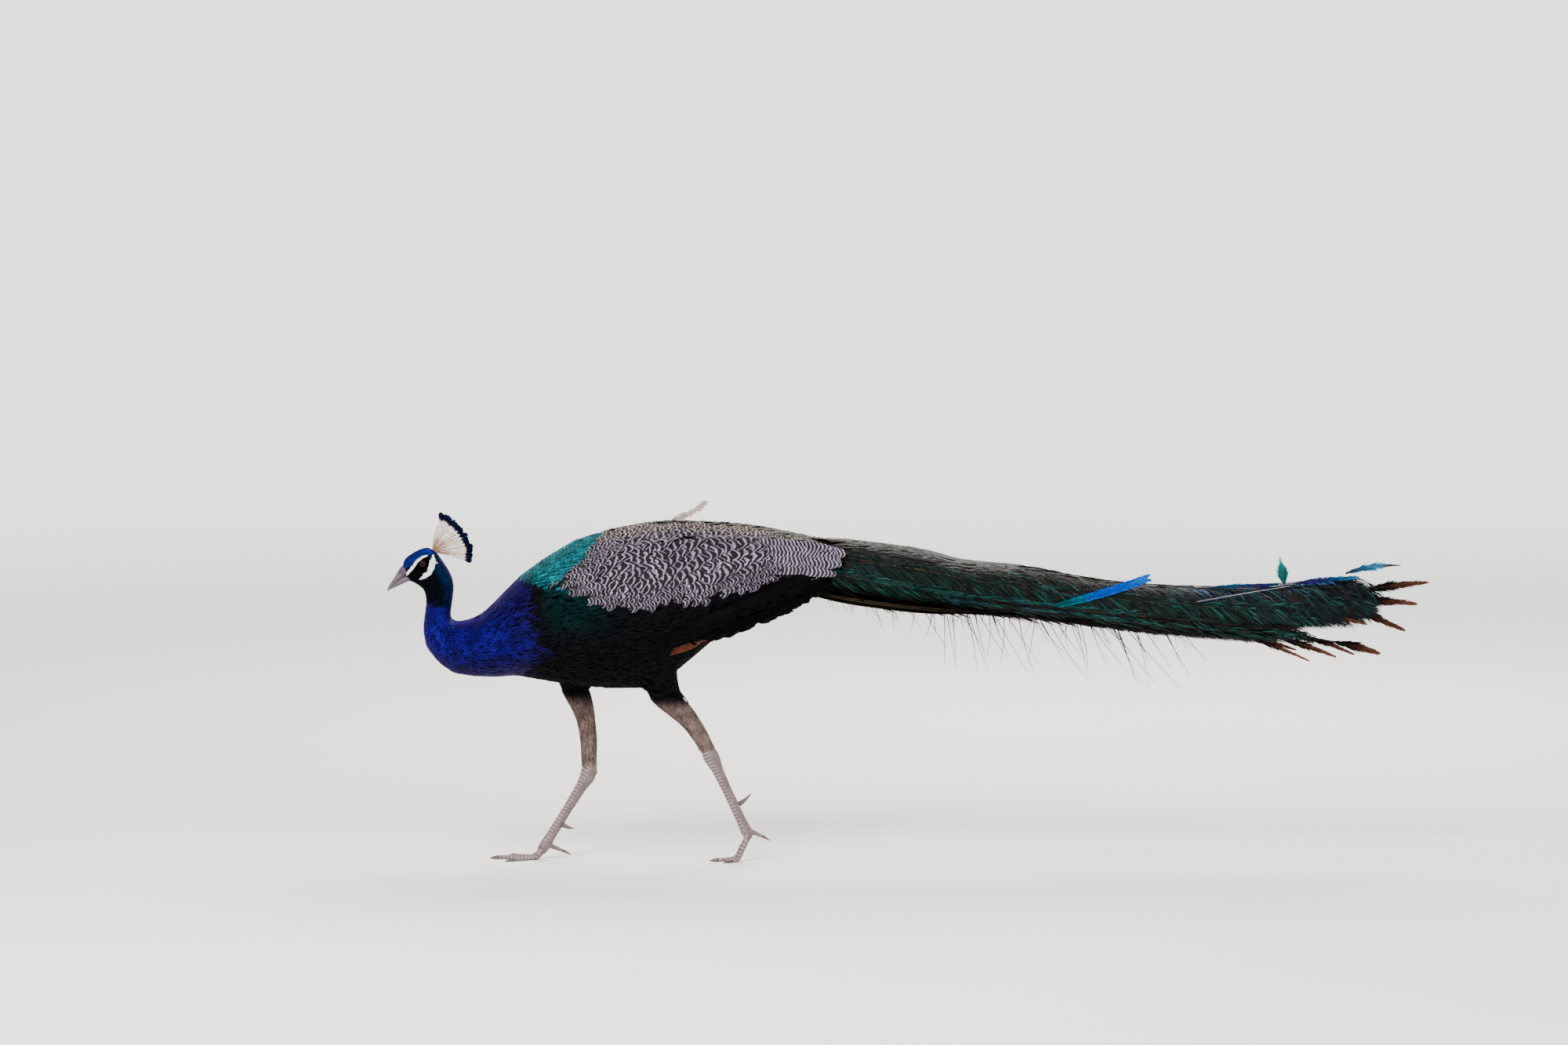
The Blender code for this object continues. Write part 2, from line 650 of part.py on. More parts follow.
def make_blue_plume():
    """A blade that leans against the train's near side and stands up past its back."""
    rings, depth = [], 0.0
    for share in np.linspace(1, 0, 7):
        x = BLUE_TIP[0] * share + BLUE_START[0] * (1 - share)
        z = BLUE_TIP[1] * share + BLUE_START[1] * (1 - share)
        half = BLUE_HALF * (0.45 + 0.55 * math.sin(math.pi * min(share + 0.12, 0.97)))
        depth = max(depth, half_width_at(x, z - half), half_width_at(x, z), 0.040)
        near = -(depth + 1.5 * WING_CLEAR)
        rings.append([Vector((x, near, z - half)), Vector((x, near, z + half)),
                      Vector((x, near - 2 * BLADE_THICK, z + half)),
                      Vector((x, near - 2 * BLADE_THICK, z - half))])
    loft("plume_blue", rings, "blue_vane")


def make_loose_feathers():
    for name, start, tip, half in END_FEATHERS:
        blade(name, start, tip, half, "green_train", droop=0.002)
    make_blue_plume()
    # One small barred feather stands up from the middle of the back.
    blade("back_feather", (-0.3500, -0.006, 0.5308), (-0.3065, -0.009, 0.5535), 0.0045,
          "barred_plumage")


def centre_model():
    """Moves every piece so that the bounding box is centred over the origin on the floor."""
    bpy.context.view_layer.update()
    corners = [obj.matrix_world @ Vector(corner)
               for obj in PEACOCK.objects for corner in obj.bound_box]
    low = Vector([min(c[k] for c in corners) for k in range(3)])
    high = Vector([max(c[k] for c in corners) for k in range(3)])
    shift = Matrix.Translation((-(low.x + high.x) / 2, -(low.y + high.y) / 2, -low.z))
    for obj in [*PEACOCK.objects, *CUTTERS.objects]:
        obj.data.transform(shift)


def main():
    make_head()
    make_bill()
    make_crest()
    trunk_grown = make_trunk()
    make_wings()
    make_legs(trunk_grown)
    make_train()
    make_tail()
    make_loose_feathers()
    centre_model()


main()
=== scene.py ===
# %% [markdown]
# # A life-size walking peacock
#
# The real thing is a male Indian peafowl in mid-stride: a blue neck, barred wings, a black
# underside, brown feathered shins and a long train. Its plain solids come in as a fixed frame.
# This lesson lays a skin over them, plants feathers on the skin, and makes the bill, eyes, crest,
# feet and train. Measurements are in metres, the bird walks towards -X and its left side faces -Y.

# %% Load the frame
import math

import bmesh
import bpy
import numpy as np
from mathutils import Matrix, Vector
from mathutils.bvhtree import BVHTree
from mathutils.kdtree import KDTree
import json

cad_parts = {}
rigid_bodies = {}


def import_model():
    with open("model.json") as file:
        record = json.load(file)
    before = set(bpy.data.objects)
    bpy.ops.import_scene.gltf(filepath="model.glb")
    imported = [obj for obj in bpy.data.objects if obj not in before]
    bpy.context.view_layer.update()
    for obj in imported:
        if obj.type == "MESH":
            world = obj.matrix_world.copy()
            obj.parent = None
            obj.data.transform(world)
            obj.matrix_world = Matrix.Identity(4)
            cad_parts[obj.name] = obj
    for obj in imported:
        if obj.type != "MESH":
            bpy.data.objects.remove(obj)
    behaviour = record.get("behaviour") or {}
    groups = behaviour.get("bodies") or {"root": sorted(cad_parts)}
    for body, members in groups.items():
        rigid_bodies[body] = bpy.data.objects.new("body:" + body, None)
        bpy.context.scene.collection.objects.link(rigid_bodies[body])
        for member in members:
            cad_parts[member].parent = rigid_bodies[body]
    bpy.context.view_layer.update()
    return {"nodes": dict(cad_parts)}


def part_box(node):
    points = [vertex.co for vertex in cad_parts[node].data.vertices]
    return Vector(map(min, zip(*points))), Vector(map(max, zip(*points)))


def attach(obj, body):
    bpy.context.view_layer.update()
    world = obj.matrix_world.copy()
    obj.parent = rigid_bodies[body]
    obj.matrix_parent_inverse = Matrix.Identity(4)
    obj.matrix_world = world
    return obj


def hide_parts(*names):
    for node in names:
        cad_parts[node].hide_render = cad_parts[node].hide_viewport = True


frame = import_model()
nodes = frame["nodes"]
chance = np.random.default_rng(7)
DRAFT = 1.0

# %% [markdown]
# ## The studio
# A museum piece is shown on a pale floor under broad, soft lights. One large lamp hangs over the
# bird's left side, a second lifts the shadows under its belly, and a third draws a light edge
# along its back. The camera has a long lens, level with the bird's back.

# %% Camera, lamps and sky
scene = bpy.context.scene
AIM = Vector((-0.188, 0.0, 0.521))
VIEW_WIDTH, VIEW_DISTANCE, VIEW_RISE, SENSOR = 2.40, 9.0, math.radians(4), 36


def look(name, data, place, aim):
    """Sets a camera or lamp at a place, turned towards an aim."""
    thing = bpy.data.objects.new(name, data)
    thing.location = place
    thing.rotation_euler = (Vector(aim) - Vector(place)).to_track_quat("-Z", "Y").to_euler()
    scene.collection.objects.link(thing)
    return thing


lens = bpy.data.cameras.new("camera")
lens.sensor_width, lens.clip_end = SENSOR, 60
lens.lens = SENSOR * VIEW_DISTANCE / VIEW_WIDTH
away = Vector((0, -math.cos(VIEW_RISE), math.sin(VIEW_RISE))) * VIEW_DISTANCE
scene.camera = look("camera", lens, AIM + away, AIM)
for label, place, aim, width, watts, tint in [
        ("key", (-1.6, -3.0, 3.0), (-0.2, 0, 0.38), 1.9, 190, (1.0, 0.97, 0.93)),
        ("fill", (2.8, -4.6, 3.2), (0.1, 0, 0.36), 2.6, 130, (0.93, 0.96, 1.0)),
        ("back", (0.6, 3.0, 3.3), (-0.1, 0, 0.42), 2.6, 200, (1.0, 0.94, 0.87))]:
    lamp = bpy.data.lights.new(label, "AREA")
    lamp.shape, lamp.size, lamp.energy, lamp.color = "DISK", width, watts, tint
    look(label, lamp, place, aim)
scene.world = bpy.data.worlds.new("studio")
scene.world.use_nodes = True
sky = scene.world.node_tree.nodes["Background"].inputs
sky["Color"].default_value, sky["Strength"].default_value = (0.86, 0.88, 0.90, 1), 0.55
scene.view_settings.view_transform = "AgX"
scene.view_settings.look = "AgX - Medium High Contrast"

# %% [markdown]
# ## Writing finishes
# A finish is a small network of shader nodes. Writing it as sums and products of sockets keeps it
# readable, so one class wraps a socket and turns each operator into a Math node.


# %% A socket that can be added and multiplied
class Wire:
    """One value inside a finish."""

    def __init__(self, finish, socket):
        self.finish, self.socket = finish, socket

    def math(self, operation, *values):
        return self.finish.node("ShaderNodeMath", {"operation": operation}, values)

    def __rsub__(self, other):
        return self.math("SUBTRACT", other, self)

    def __abs__(self):
        return self.math("ABSOLUTE", self)

    def fract(self):
        return self.math("FRACT", self)

    def sine(self):
        return self.math("SINE", self)

    def step(self, low, high):
        """0 below low, 1 above high, and a smooth rise between them."""
        return self.finish.node("ShaderNodeMapRange", {"interpolation_type": "SMOOTHSTEP"},
                                {"Value": self, "From Min": low, "From Max": high})


def operator(operation):
    return lambda self, other: self.math(operation, self, other)


for sign, operation in (("add", "ADD"), ("radd", "ADD"), ("sub", "SUBTRACT"), ("mul", "MULTIPLY"),
                        ("rmul", "MULTIPLY"), ("truediv", "DIVIDE"), ("pow", "POWER")):
    setattr(Wire, f"__{sign}__", operator(operation))


# %% A finish and the nodes it uses most
class Finish:
    """A material built round one Principled shader."""

    def __init__(self, name, **constants):
        self.material = bpy.data.materials.new(name)
        self.material.use_nodes = True
        self.tree = self.material.node_tree
        self.shader = self.tree.nodes["Principled BSDF"]
        for key, value in constants.items():
            self.shader.inputs[key.replace("_", " ")].default_value = value

    def node(self, kind, settings=None, values=(), out=0):
        node = self.tree.nodes.new(kind)
        for key, value in (settings or {}).items():
            setattr(node, key, value)
        for key, value in (values.items() if isinstance(values, dict) else enumerate(values)):
            self.put(node.inputs[key], value)
        return Wire(self, node.outputs[out])

    def put(self, socket, value):
        if isinstance(value, Wire):
            self.tree.links.new(value.socket, socket)
        elif isinstance(value, tuple) and len(value) == 3 and socket.type == "RGBA":
            socket.default_value = (*value, 1)
        else:
            socket.default_value = value

    def feed(self, name, value):
        self.put(self.shader.inputs[name], value)
        return self

    def mix(self, share, first, second, blend="MIX"):
        return self.node("ShaderNodeMix", {"data_type": "RGBA", "blend_type": blend},
                         {0: share, 6: first, 7: second}, out=2)

    def ramp(self, value, *stops):
        wire = self.node("ShaderNodeValToRGB", values={"Fac": value})
        elements = wire.socket.node.color_ramp.elements
        while len(elements) < len(stops):
            elements.new(0.5)
        for element, (place, colour) in zip(elements, stops):
            element.position, element.color = place, (*colour, 1)
        return wire

    def place(self):
        return self.node("ShaderNodeTexCoord", out="Object")

    def noise(self, scale, detail=2.0, stretch=None):
        where = self.place()
        if stretch:
            where = self.node("ShaderNodeMapping", values={"Vector": where, "Scale": stretch})
        return self.node("ShaderNodeTexNoise",
                         values={"Vector": where, "Scale": scale, "Detail": detail})

    def mottled(self, first, second, *grain):
        """Two colours mixed by a noise of the given scale and detail."""
        return self.mix(self.noise(*grain), first, second)

    def own(self, name, out="Color"):
        return self.node("ShaderNodeAttribute", {"attribute_name": name}, out=out)

    def split(self, vector):
        return [self.node("ShaderNodeSeparateXYZ", values=[vector], out=i) for i in range(3)]

    def quill(self):
        """A feather's own coordinates: along it, across it, and a number of its own."""
        return self.split(self.own("quill", "Vector"))

    def bump(self, height, distance, strength=1.0):
        return self.feed("Normal", self.node("ShaderNodeBump", values={
            "Height": height, "Distance": distance, "Strength": strength}))


# %% The floor
# A wide disc whose rim bends up into a low wall, so that the ground is pale behind every side. The
# rim glows a little, because the lamps are too far away to light it.
DISC, BEND, WALL = 10.5, 3.5, 6.0           # radius of the disc, radius of the bend, height
GLOW_FROM, GLOW_FULL = 1.0, 8.5
turns = np.linspace(0, math.pi / 2, 17)
bend = zip(DISC + BEND * np.sin(turns), BEND * (1 - np.cos(turns)))
ground = bmesh.new()
rib = [ground.verts.new((reach, 0, rise))
       for reach, rise in [(0, 0), (5, 0), *bend, (DISC + BEND, WALL)]]
rib += [ground.edges.new(pair) for pair in zip(rib, rib[1:])]
bmesh.ops.spin(ground, geom=rib, axis=(0, 0, 1), angle=math.tau, steps=96)
bmesh.ops.remove_doubles(ground, verts=ground.verts[:], dist=1e-4)
bmesh.ops.recalc_face_normals(ground, faces=ground.faces[:])
for face in ground.faces:
    face.smooth = True
    if face.normal.z < 0 or face.calc_center_median().xy.dot(face.normal.xy) > 1e-6:
        face.normal_flip()
floor = bpy.data.objects.new("floor", bpy.data.meshes.new("floor"))
ground.to_mesh(floor.data)
scene.collection.objects.link(floor)
plaster = Finish("pale_floor", Roughness=0.85, Specular_IOR_Level=0.0, Emission_Strength=1.0)
floor_x, floor_y, _ = plaster.split(plaster.place())
outwards = ((floor_x * floor_x + floor_y * floor_y) ** 0.5).step(GLOW_FROM, GLOW_FULL)
plain = plaster.mottled((0.76, 0.75, 0.73), (0.80, 0.79, 0.77), 1.5)
plaster.feed("Base Color", plaster.mix(outwards, plain, (0.0, 0.0, 0.0)))
plaster.feed("Emission Color", plaster.mix(outwards, (0.0, 0.0, 0.0), (1.5, 1.5, 1.48)))
floor.data.materials.append(plaster.material)

# %% [markdown]
# ## The line of the body
# Feathers all point away from the bill. A line through the middle of the body, from the bill along
# the bent neck to the train, tells every point of the skin how far along the bird it lies, which
# way its feathers point, and how far round from the back it is.

# %% The body line
LINE_POINTS = [(-0.7685, 0.4425), (-0.7570, 0.4490), (-0.7400, 0.4505), (-0.7270, 0.4430),
               (-0.7183, 0.4220), (-0.7175, 0.3980), (-0.7195, 0.3720), (-0.7140, 0.3530),
               (-0.6990, 0.3440), (-0.6738, 0.3420), (-0.6193, 0.3538), (-0.5610, 0.3720),
               (-0.5033, 0.3840), (-0.3945, 0.3953), (-0.2853, 0.4298), (-0.1330, 0.4595),
               (-0.0210, 0.4415), (0.0855, 0.4253), (0.2790, 0.4020), (0.5000, 0.3845),
               (0.7900, 0.3880)]


def travel(points):
    """How far along a path each of its points lies."""
    return np.r_[0, np.cumsum(np.linalg.norm(np.diff(points, axis=0), axis=1))]


def sampled(t, places, rows):
    """Rows of numbers given at some places, read off at others."""
    return np.stack([np.interp(t, places, column) for column in rows.T], -1)


def even_line(points, count):
    """The same line as evenly spaced points, rounded off a little, and their distances along."""
    for _ in range(2):
        along = travel(points)
        points = sampled(np.linspace(0, along[-1], count), along, points)
        for _ in range(4):
            points[1:-1] = (points[:-2] + 2 * points[1:-1] + points[2:]) / 4
    return points, travel(points)


def unit(vectors):
    vectors = np.asarray(vectors, float)
    return vectors / np.maximum(np.linalg.norm(vectors, axis=-1, keepdims=True), 1e-9)


line, line_at = even_line(np.array([(x, 0, z) for x, z in LINE_POINTS]), 240)
line_way = unit(np.gradient(line, axis=0))
line_up = np.stack([-line_way[:, 2], 0 * line_way[:, 1], line_way[:, 0]], 1)


def locate(points):
    """For each point: distance along the bird, turn round from the back, and the way back."""
    found = []
    for chunk in np.array_split(points, max(1, len(points) // 4000)):
        gap = np.linalg.norm(chunk[:, None] - line[None], axis=2)
        nearest = gap.min(1, keepdims=True)
        share = np.exp(-14 * (gap / np.maximum(nearest, 1e-4) - 1))
        share /= share.sum(1, keepdims=True)
        off = chunk - share @ line
        up = (off * unit(share @ line_up)).sum(1)
        found.append((share @ line_at, np.arctan2(np.abs(off[:, 1]), up), unit(share @ line_way)))
    return [np.concatenate(values) for values in zip(*found)]


def smooth(value, low, high):
    value = np.clip((value - low) / (high - low), 0, 1)
    return value * value * (3 - 2 * value)


print("body line", round(float(line_at[-1]), 3), "m")

# %% [markdown]
# ## One skin
# The flesh solids are cut apart at the neck, breast and legs. Their copies are joined, and a voxel
# remesh welds them into one closed surface, as shrink-wrap would. It is then drawn in by the depth
# of the coat, so that the feathers planted on it end at the true outline.

# %% Join and remesh the flesh
SIDES = ("left", "right")
FLESH = ["head", "neck_upper", "neck_lower", "breast", "trunk", "wing_left", "wing_right",
         "shank_left", "shank_right"]


def merged(names):
    """A bmesh of copies of the named solids, with their loose triangles merged."""
    bm = bmesh.new()
    for name in names:
        bm.from_mesh(bpy.data.objects[name].data)
    bmesh.ops.remove_doubles(bm, verts=bm.verts[:], dist=1e-5)
    return bm


def piece(name, shape, finish=None):
    """Links a mesh, or a finished bmesh, to the scene as one smooth piece."""
    if isinstance(shape, bmesh.types.BMesh):
        shape, bm = bpy.data.meshes.new(name), shape
        bm.to_mesh(shape)
        bm.free()
    made = bpy.data.objects.new(name, shape)
    scene.collection.objects.link(made)
    if finish:
        shape.materials.append(finish.material)
    shape.shade_smooth()
    return made


def applied(made, kind, **settings):
    """Replaces a piece's mesh by the result of one modifier."""
    modifier = made.modifiers.new(kind.lower(), kind)
    for key, value in settings.items():
        setattr(modifier, key, value)
    bpy.context.view_layer.update()
    result = bpy.data.meshes.new_from_object(made.evaluated_get(
        bpy.context.evaluated_depsgraph_get()))
    made.modifiers.clear()
    made.data = result
    return made


def outer_shell(bm):
    """Deletes the small closed pockets a remesh leaves where solids nearly touch."""
    left, shells = set(bm.verts), []
    while left:
        shell, edge_of = [left.pop()], 0
        while edge_of < len(shell):
            near = {e.other_vert(shell[edge_of]) for e in shell[edge_of].link_edges} & left
            left -= near
            shell += near
            edge_of += 1
        shells.append(shell)
    pockets = [shell for shell in shells if len(shell) < len(bm.verts) / 20]
    bmesh.ops.delete(bm, geom=[v for shell in pockets for v in shell], context="VERTS")


def relax(bm, verts, rounds):
    """Moves points towards the middle of their neighbours, round after round."""
    for _ in range(rounds):
        bmesh.ops.smooth_vert(bm, verts=verts, factor=0.5, use_axis_x=True, use_axis_y=True,
                              use_axis_z=True)


def welded(name, names, voxel, rounds):
    """The named solids as one remeshed and smoothed surface, returned as a bmesh."""
    made = applied(piece(name, merged(names)), "REMESH", mode="VOXEL", voxel_size=voxel)
    bm = bmesh.new()
    bm.from_mesh(made.data)
    bpy.data.objects.remove(made)
    outer_shell(bm)
    relax(bm, bm.verts[:], rounds)
    return bm


def points_of(mesh, what="co"):
    values = np.empty(len(mesh.vertices) * 3, np.float32)
    mesh.vertices.foreach_get(what, values)
    return values.reshape(-1, 3).astype(float)


def move_points(mesh, points):
    mesh.vertices.foreach_set("co", points.astype(np.float32).ravel())
    mesh.update()


eye_low, eye_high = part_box("eye_left")
EYE = (eye_low + eye_high) / 2
EYE_SIZE = (eye_high.z - eye_low.z) / 2
skin_bm = welded("skin", [FLESH[0], "eye_left", "eye_right", *FLESH[1:]], 0.0034, 5)
for inside in (lambda c: c.x < -0.706 and c.z > 0.412,              # the head, then round the eyes
               lambda c: math.hypot(c.x - EYE.x, c.z - EYE.z) < 0.0105):
    chosen = [face for face in skin_bm.faces if inside(face.calc_center_median())]
    bmesh.ops.subdivide_edges(skin_bm, edges=list({edge for face in chosen for edge in face.edges}),
                              cuts=2, use_grid_fill=True, smooth=0.6)
relax(skin_bm, [v for v in skin_bm.verts if v.co.x < -0.704 and v.co.z > 0.410], 5)
relax(skin_bm, [v for v in skin_bm.verts             # the wing's upper edge melts into the back
                if -0.48 < v.co.x < -0.10 and v.co.z > 0.455 and 0.015 < abs(v.co.y) < 0.105], 110)
bmesh.ops.triangulate(skin_bm, faces=[f for f in skin_bm.faces if len(f.verts) > 4])
skin = piece("skin", skin_bm)
print("skin", len(skin.data.vertices), "points")

# %% Draw the skin in by the depth of the coat
# Distances along the body line, from the bill to the rump, and the coat's depth at each.
COAT_DEPTH = ([0, 0.045, 0.075, 0.125, 0.215, 0.33, 0.70, 1.0],
              [0.0008, 0.0013, 0.0020, 0.0035, 0.0060, 0.0070, 0.0080, 0.0080])
SHIN_TOP, SHIN_FLOOR, SHIN_DEPTH = 0.272, 0.235, 0.0022
skin_points, skin_out = points_of(skin.data), points_of(skin.data, "normal")
shin = 1 - smooth(skin_points[:, 2], SHIN_FLOOR, SHIN_TOP)
deep = np.interp(locate(skin_points)[0], *COAT_DEPTH) * (1 - shin) + SHIN_DEPTH * shin
skin_points -= skin_out * deep[:, None]

# %% Shape the eyelids in the skin
# The skin round each eye moves onto the eyeball, and inside the opening it is tucked in behind.
LID_OPEN = (0.0056, 0.0049)     # half length and half height of the eye's opening
LID_THICK = 0.0005


def round_eye(points):
    """Distance from the eye, and the same in terms of its opening, whose rim is at 1."""
    off_x, off_z = points[:, 0] - EYE.x, points[:, 2] - EYE.z
    return np.hypot(off_x, off_z), np.hypot(off_x / LID_OPEN[0], off_z / LID_OPEN[1])


reach, ring = round_eye(skin_points)
wide = abs(skin_points[:, 1])
ball = abs(EYE.y) + np.sqrt(np.maximum((EYE_SIZE + LID_THICK) ** 2 - reach ** 2, 0))
lid = ball + 0.0006 * np.exp(-((ring - 1.12) / 0.14) ** 2)
lid = np.where(ring < 1, abs(EYE.y) + 0.001 + 0.0045 * smooth(ring, 0.8, 1.0), lid)
blend = 1 - smooth(reach, 0.0072, 0.0108)
mine = (reach < 0.0112) & (wide > 0.006)
skin_points[mine, 1] = (np.sign(skin_points[:, 1]) * (wide * (1 - blend) + lid * blend))[mine]
move_points(skin.data, skin_points)
skin_points = points_of(skin.data)
print("skin box", skin_points.min(0).round(3), skin_points.max(0).round(3))

# %% [markdown]
# ## The markings
# Every colour on the bird depends only on the place: blue on the neck and breast, teal scales on
# the mantle, wavy bars on the wing, black below, buff-brown shins. One function paints any set of
# points, so the skin and the feathers that grow from it always agree.

# %% Bands and edges of the markings
WING_FRONT = ((-0.539, 0.4250), (-0.466, 0.5060))       # the barred wing's front edge, low to high
WING_LOW = ([-0.54, -0.524, -0.476, -0.428, -0.404, -0.380, -0.326, -0.308, -0.250, -0.212,
             -0.190, -0.128, -0.108, -0.096],
            [0.4260, 0.4210, 0.4070, 0.3990, 0.3990, 0.4090, 0.4040, 0.4150, 0.4270, 0.4385,
             0.4395, 0.4415, 0.4540, 0.4750])
SHAWL_LOW = ([-0.64, -0.616, -0.595, -0.565, -0.540, -0.50],
             [0.434, 0.4236, 0.4240, 0.4200, 0.4150, 0.40])
# The white skin of the face, in mm from the eye: (back, up, half width) along each stripe.
WHITE_STRIPES = [[(-30, -21, 1.8), (-24.4, -15.5, 2.3), (-16, -5.5, 2.7), (-9.6, 3.8, 2.7),
                  (-1.9, 9.8, 2.3), (6.5, 12.8, 1.2)],                                  # the brow
                 [(14.6, 13.0, 1.6), (14.4, 5.0, 5.0), (13.4, -5.0, 4.6), (8.4, -13.6, 4.8),
                  (1.0, -19.4, 3.7), (-5.6, -23.4, 1.7)],                               # the cheek
                 [(16.0, 2.0, 2.2), (22.0, 1.2, 1.0)]]                                  # its spike
MASK = [(-24, -18, 2), (-12, -7, 7), (0, 0, 10), (4, 8, 5)]
CROWN_LOW = ([-34, -19, -9, 1, 12, 20], [-14, -2, 8, 13, 15.5, 12])


def past_front(x, z):
    """Distance behind the barred wing's slanting front edge."""
    (x0, z0), (x1, z1) = WING_FRONT
    return ((x - x0) * (z1 - z0) - (z - z0) * (x1 - x0)) / math.hypot(x1 - x0, z1 - z0)


def barred_depth(points):
    """Distance inside the barred wing's edge, positive on the barred feathers."""
    x, z = points[:, 0], points[:, 2]
    return np.minimum(past_front(x, z), z - np.interp(x, *WING_LOW))


def stripe(points, path):
    """Distance in mm inside a stripe that follows a short path on the side of the head."""
    off = np.stack([points[:, 0] - EYE.x, points[:, 2] - EYE.z], 1) * 1000
    inside = np.full(len(points), -99.0)
    for (x0, z0, w0), (x1, z1, w1) in zip(path, path[1:]):
        start, run = np.array((x0, z0)), np.array((x1 - x0, z1 - z0))
        share = np.clip((off - start) @ run / (run @ run), 0, 1)
        far = np.linalg.norm(off - start - share[:, None] * run, axis=1)
        inside = np.maximum(inside, w0 + (w1 - w0) * share - far)
    return inside


def white_face(points):
    """Distance in mm inside the bare white skin, negative outside it."""
    inside = np.max([stripe(points, path) for path in WHITE_STRIPES], axis=0)
    return np.where((points[:, 0] < -0.70) & (points[:, 2] > 0.42), inside, -99.0)


# %% Paint points by their place
BLUE, NAPE, CROWN = (0.017, 0.006, 0.170), (0.002, 0.018, 0.060), (0.012, 0.030, 0.24)
THROAT, TEAL, BLACK = (0.0025, 0.0045, 0.0065), (0.023, 0.172, 0.205), (0.0068, 0.0058, 0.0070)
SHEEN_GREEN, VIOLET, FACE = (0.003, 0.028, 0.027), (0.032, 0.006, 0.15), (0.0050, 0.0032, 0.0040)
SHIN, WHITE, BARRED = (0.182, 0.134, 0.120), (0.80, 0.80, 0.76), (0.030, 0.026, 0.028)
BACK_SCALE = (0.030, 0.022, 0.012)


def paint(points, at, turn):
    """The colour of the plumage, or of the skin under it, at each point."""
    x, y, z = points.T
    rough = 0.006 * np.sin(x * 190 + 3 * np.sin(z * 150)) + 0.004 * np.sin(z * 330 + x * 120)
    back = x + rough
    head = smooth(z + 0.5 * rough, 0.392, 0.404) * smooth(x, -0.690, -0.700)
    above = (z - EYE.z) * 1000 - np.interp((x - EYE.x) * 1000, *CROWN_LOW)
    shawl = np.minimum(z + 0.6 * rough - np.interp(x, *SHAWL_LOW), 0.02 - past_front(x, z))
    shawl = smooth(shawl, 0, 0.012) * smooth(x, -0.655, -0.63)
    middle = smooth(abs(y) - 0.02 * smooth(x, -0.30, -0.14), 0.024, 0.018)
    coats = [  # one over another
        (0.55 * smooth(turn, 1.2, 0.3) * smooth(at, 0.10, 0.20), VIOLET),
        (smooth(back, -0.665, -0.545) * smooth(z, 0.29, 0.40) * 0.85
         + smooth(back, -0.650, -0.570) * smooth(z, 0.330, 0.300) * 0.7
         + smooth(back, -0.600, -0.530), BLACK),
        (smooth(z + rough, 0.335, 0.285) * 0.75, BLACK),
        (0.6 * (smooth(x, -0.58, -0.54) * smooth(x, -0.42, -0.52) * smooth(z, 0.33, 0.40)),
         SHEEN_GREEN),
        (head, THROAT),
        (head * smooth(turn, 1.25, 0.55), NAPE),
        (smooth(above, -0.6, 1.2) * smooth(x, -0.716, -0.722) * smooth(z, 0.43, 0.44), CROWN),
        (smooth(stripe(points, MASK), -1.5, 1.0) * head, FACE),
        (shawl, TEAL),
        (smooth(back, -0.60, -0.64) * shawl * 0.5, BLUE),
        (smooth(barred_depth(points), -0.002, 0.003), BARRED),
        (middle * smooth(x, -0.42, -0.38) * smooth(z, 0.44, 0.47), BACK_SCALE),
        (smooth(z, 0.262, 0.240) * smooth(z, 0.0, 0.01), SHIN),
        (smooth(white_face(points), -0.15, 0.35), WHITE)]
    colours = np.tile(np.array(BLUE), (len(points), 1))
    for share, colour in coats:
        share = np.clip(share, 0, 1)[:, None]
        colours = colours * (1 - share) + np.array(colour) * share
    return colours


def store(mesh, name, vectors):
    """Gives each point of a mesh three numbers for the finishes to read."""
    layer = mesh.attributes.new(name, "FLOAT_VECTOR", "POINT")
    layer.data.foreach_set("vector", vectors.astype(np.float32).ravel())


def set_colours(mesh, name, colours):
    layer = mesh.color_attributes.new(name, "FLOAT_COLOR", "POINT")
    full = np.c_[colours, np.ones(len(colours))]
    layer.data.foreach_set("color", full.astype(np.float32).ravel())


skin_at, skin_turn, _ = locate(skin_points)
skin_colours = paint(skin_points, skin_at, skin_turn)
# The skin is darker under the feathers, as painted shade in the gaps between them; bare skin keeps
# its colour.
painted_shade_under_coat = np.where(white_face(skin_points) > 0, 1, 0.6)      # darker, except on bare skin
set_colours(skin.data, "tint", skin_colours * painted_shade_under_coat[:, None])
print("barred share of the skin", round(float((barred_depth(skin_points) > 0).mean()), 2))

# %% [markdown]
# ## How a feather is made
# A small grid is the pattern of every vane: its long way runs from root to tip and its short way
# across. Thousands of copies are bent to their own paths and joined into one mesh, which is far
# lighter than as many objects. Each copy carries its colour, its own coordinates for the finish,
# and a small patch of a map laid round the skin's shape.

# %% Vanes
PATCH = 0.003       # the size of a feather's patch of the map
MOST = 190000       # most triangles in one piece
pieces = [skin]


def vane_pattern(along, across):
    """A grid's faces, numbered row by row from root to tip."""
    bm = bmesh.new()
    bmesh.ops.create_grid(bm, x_segments=across, y_segments=along, size=1)
    order = sorted(bm.verts, key=lambda v: (round(v.co.y, 4), v.co.x))
    number = {v: i for i, v in enumerate(order)}
    faces = np.array([[number[loop.vert] for loop in face.loops] for face in bm.faces])
    bm.free()
    if len(order) != (along + 1) * (across + 1):
        raise ValueError("the grid has another count of points than the pattern expects")
    return faces


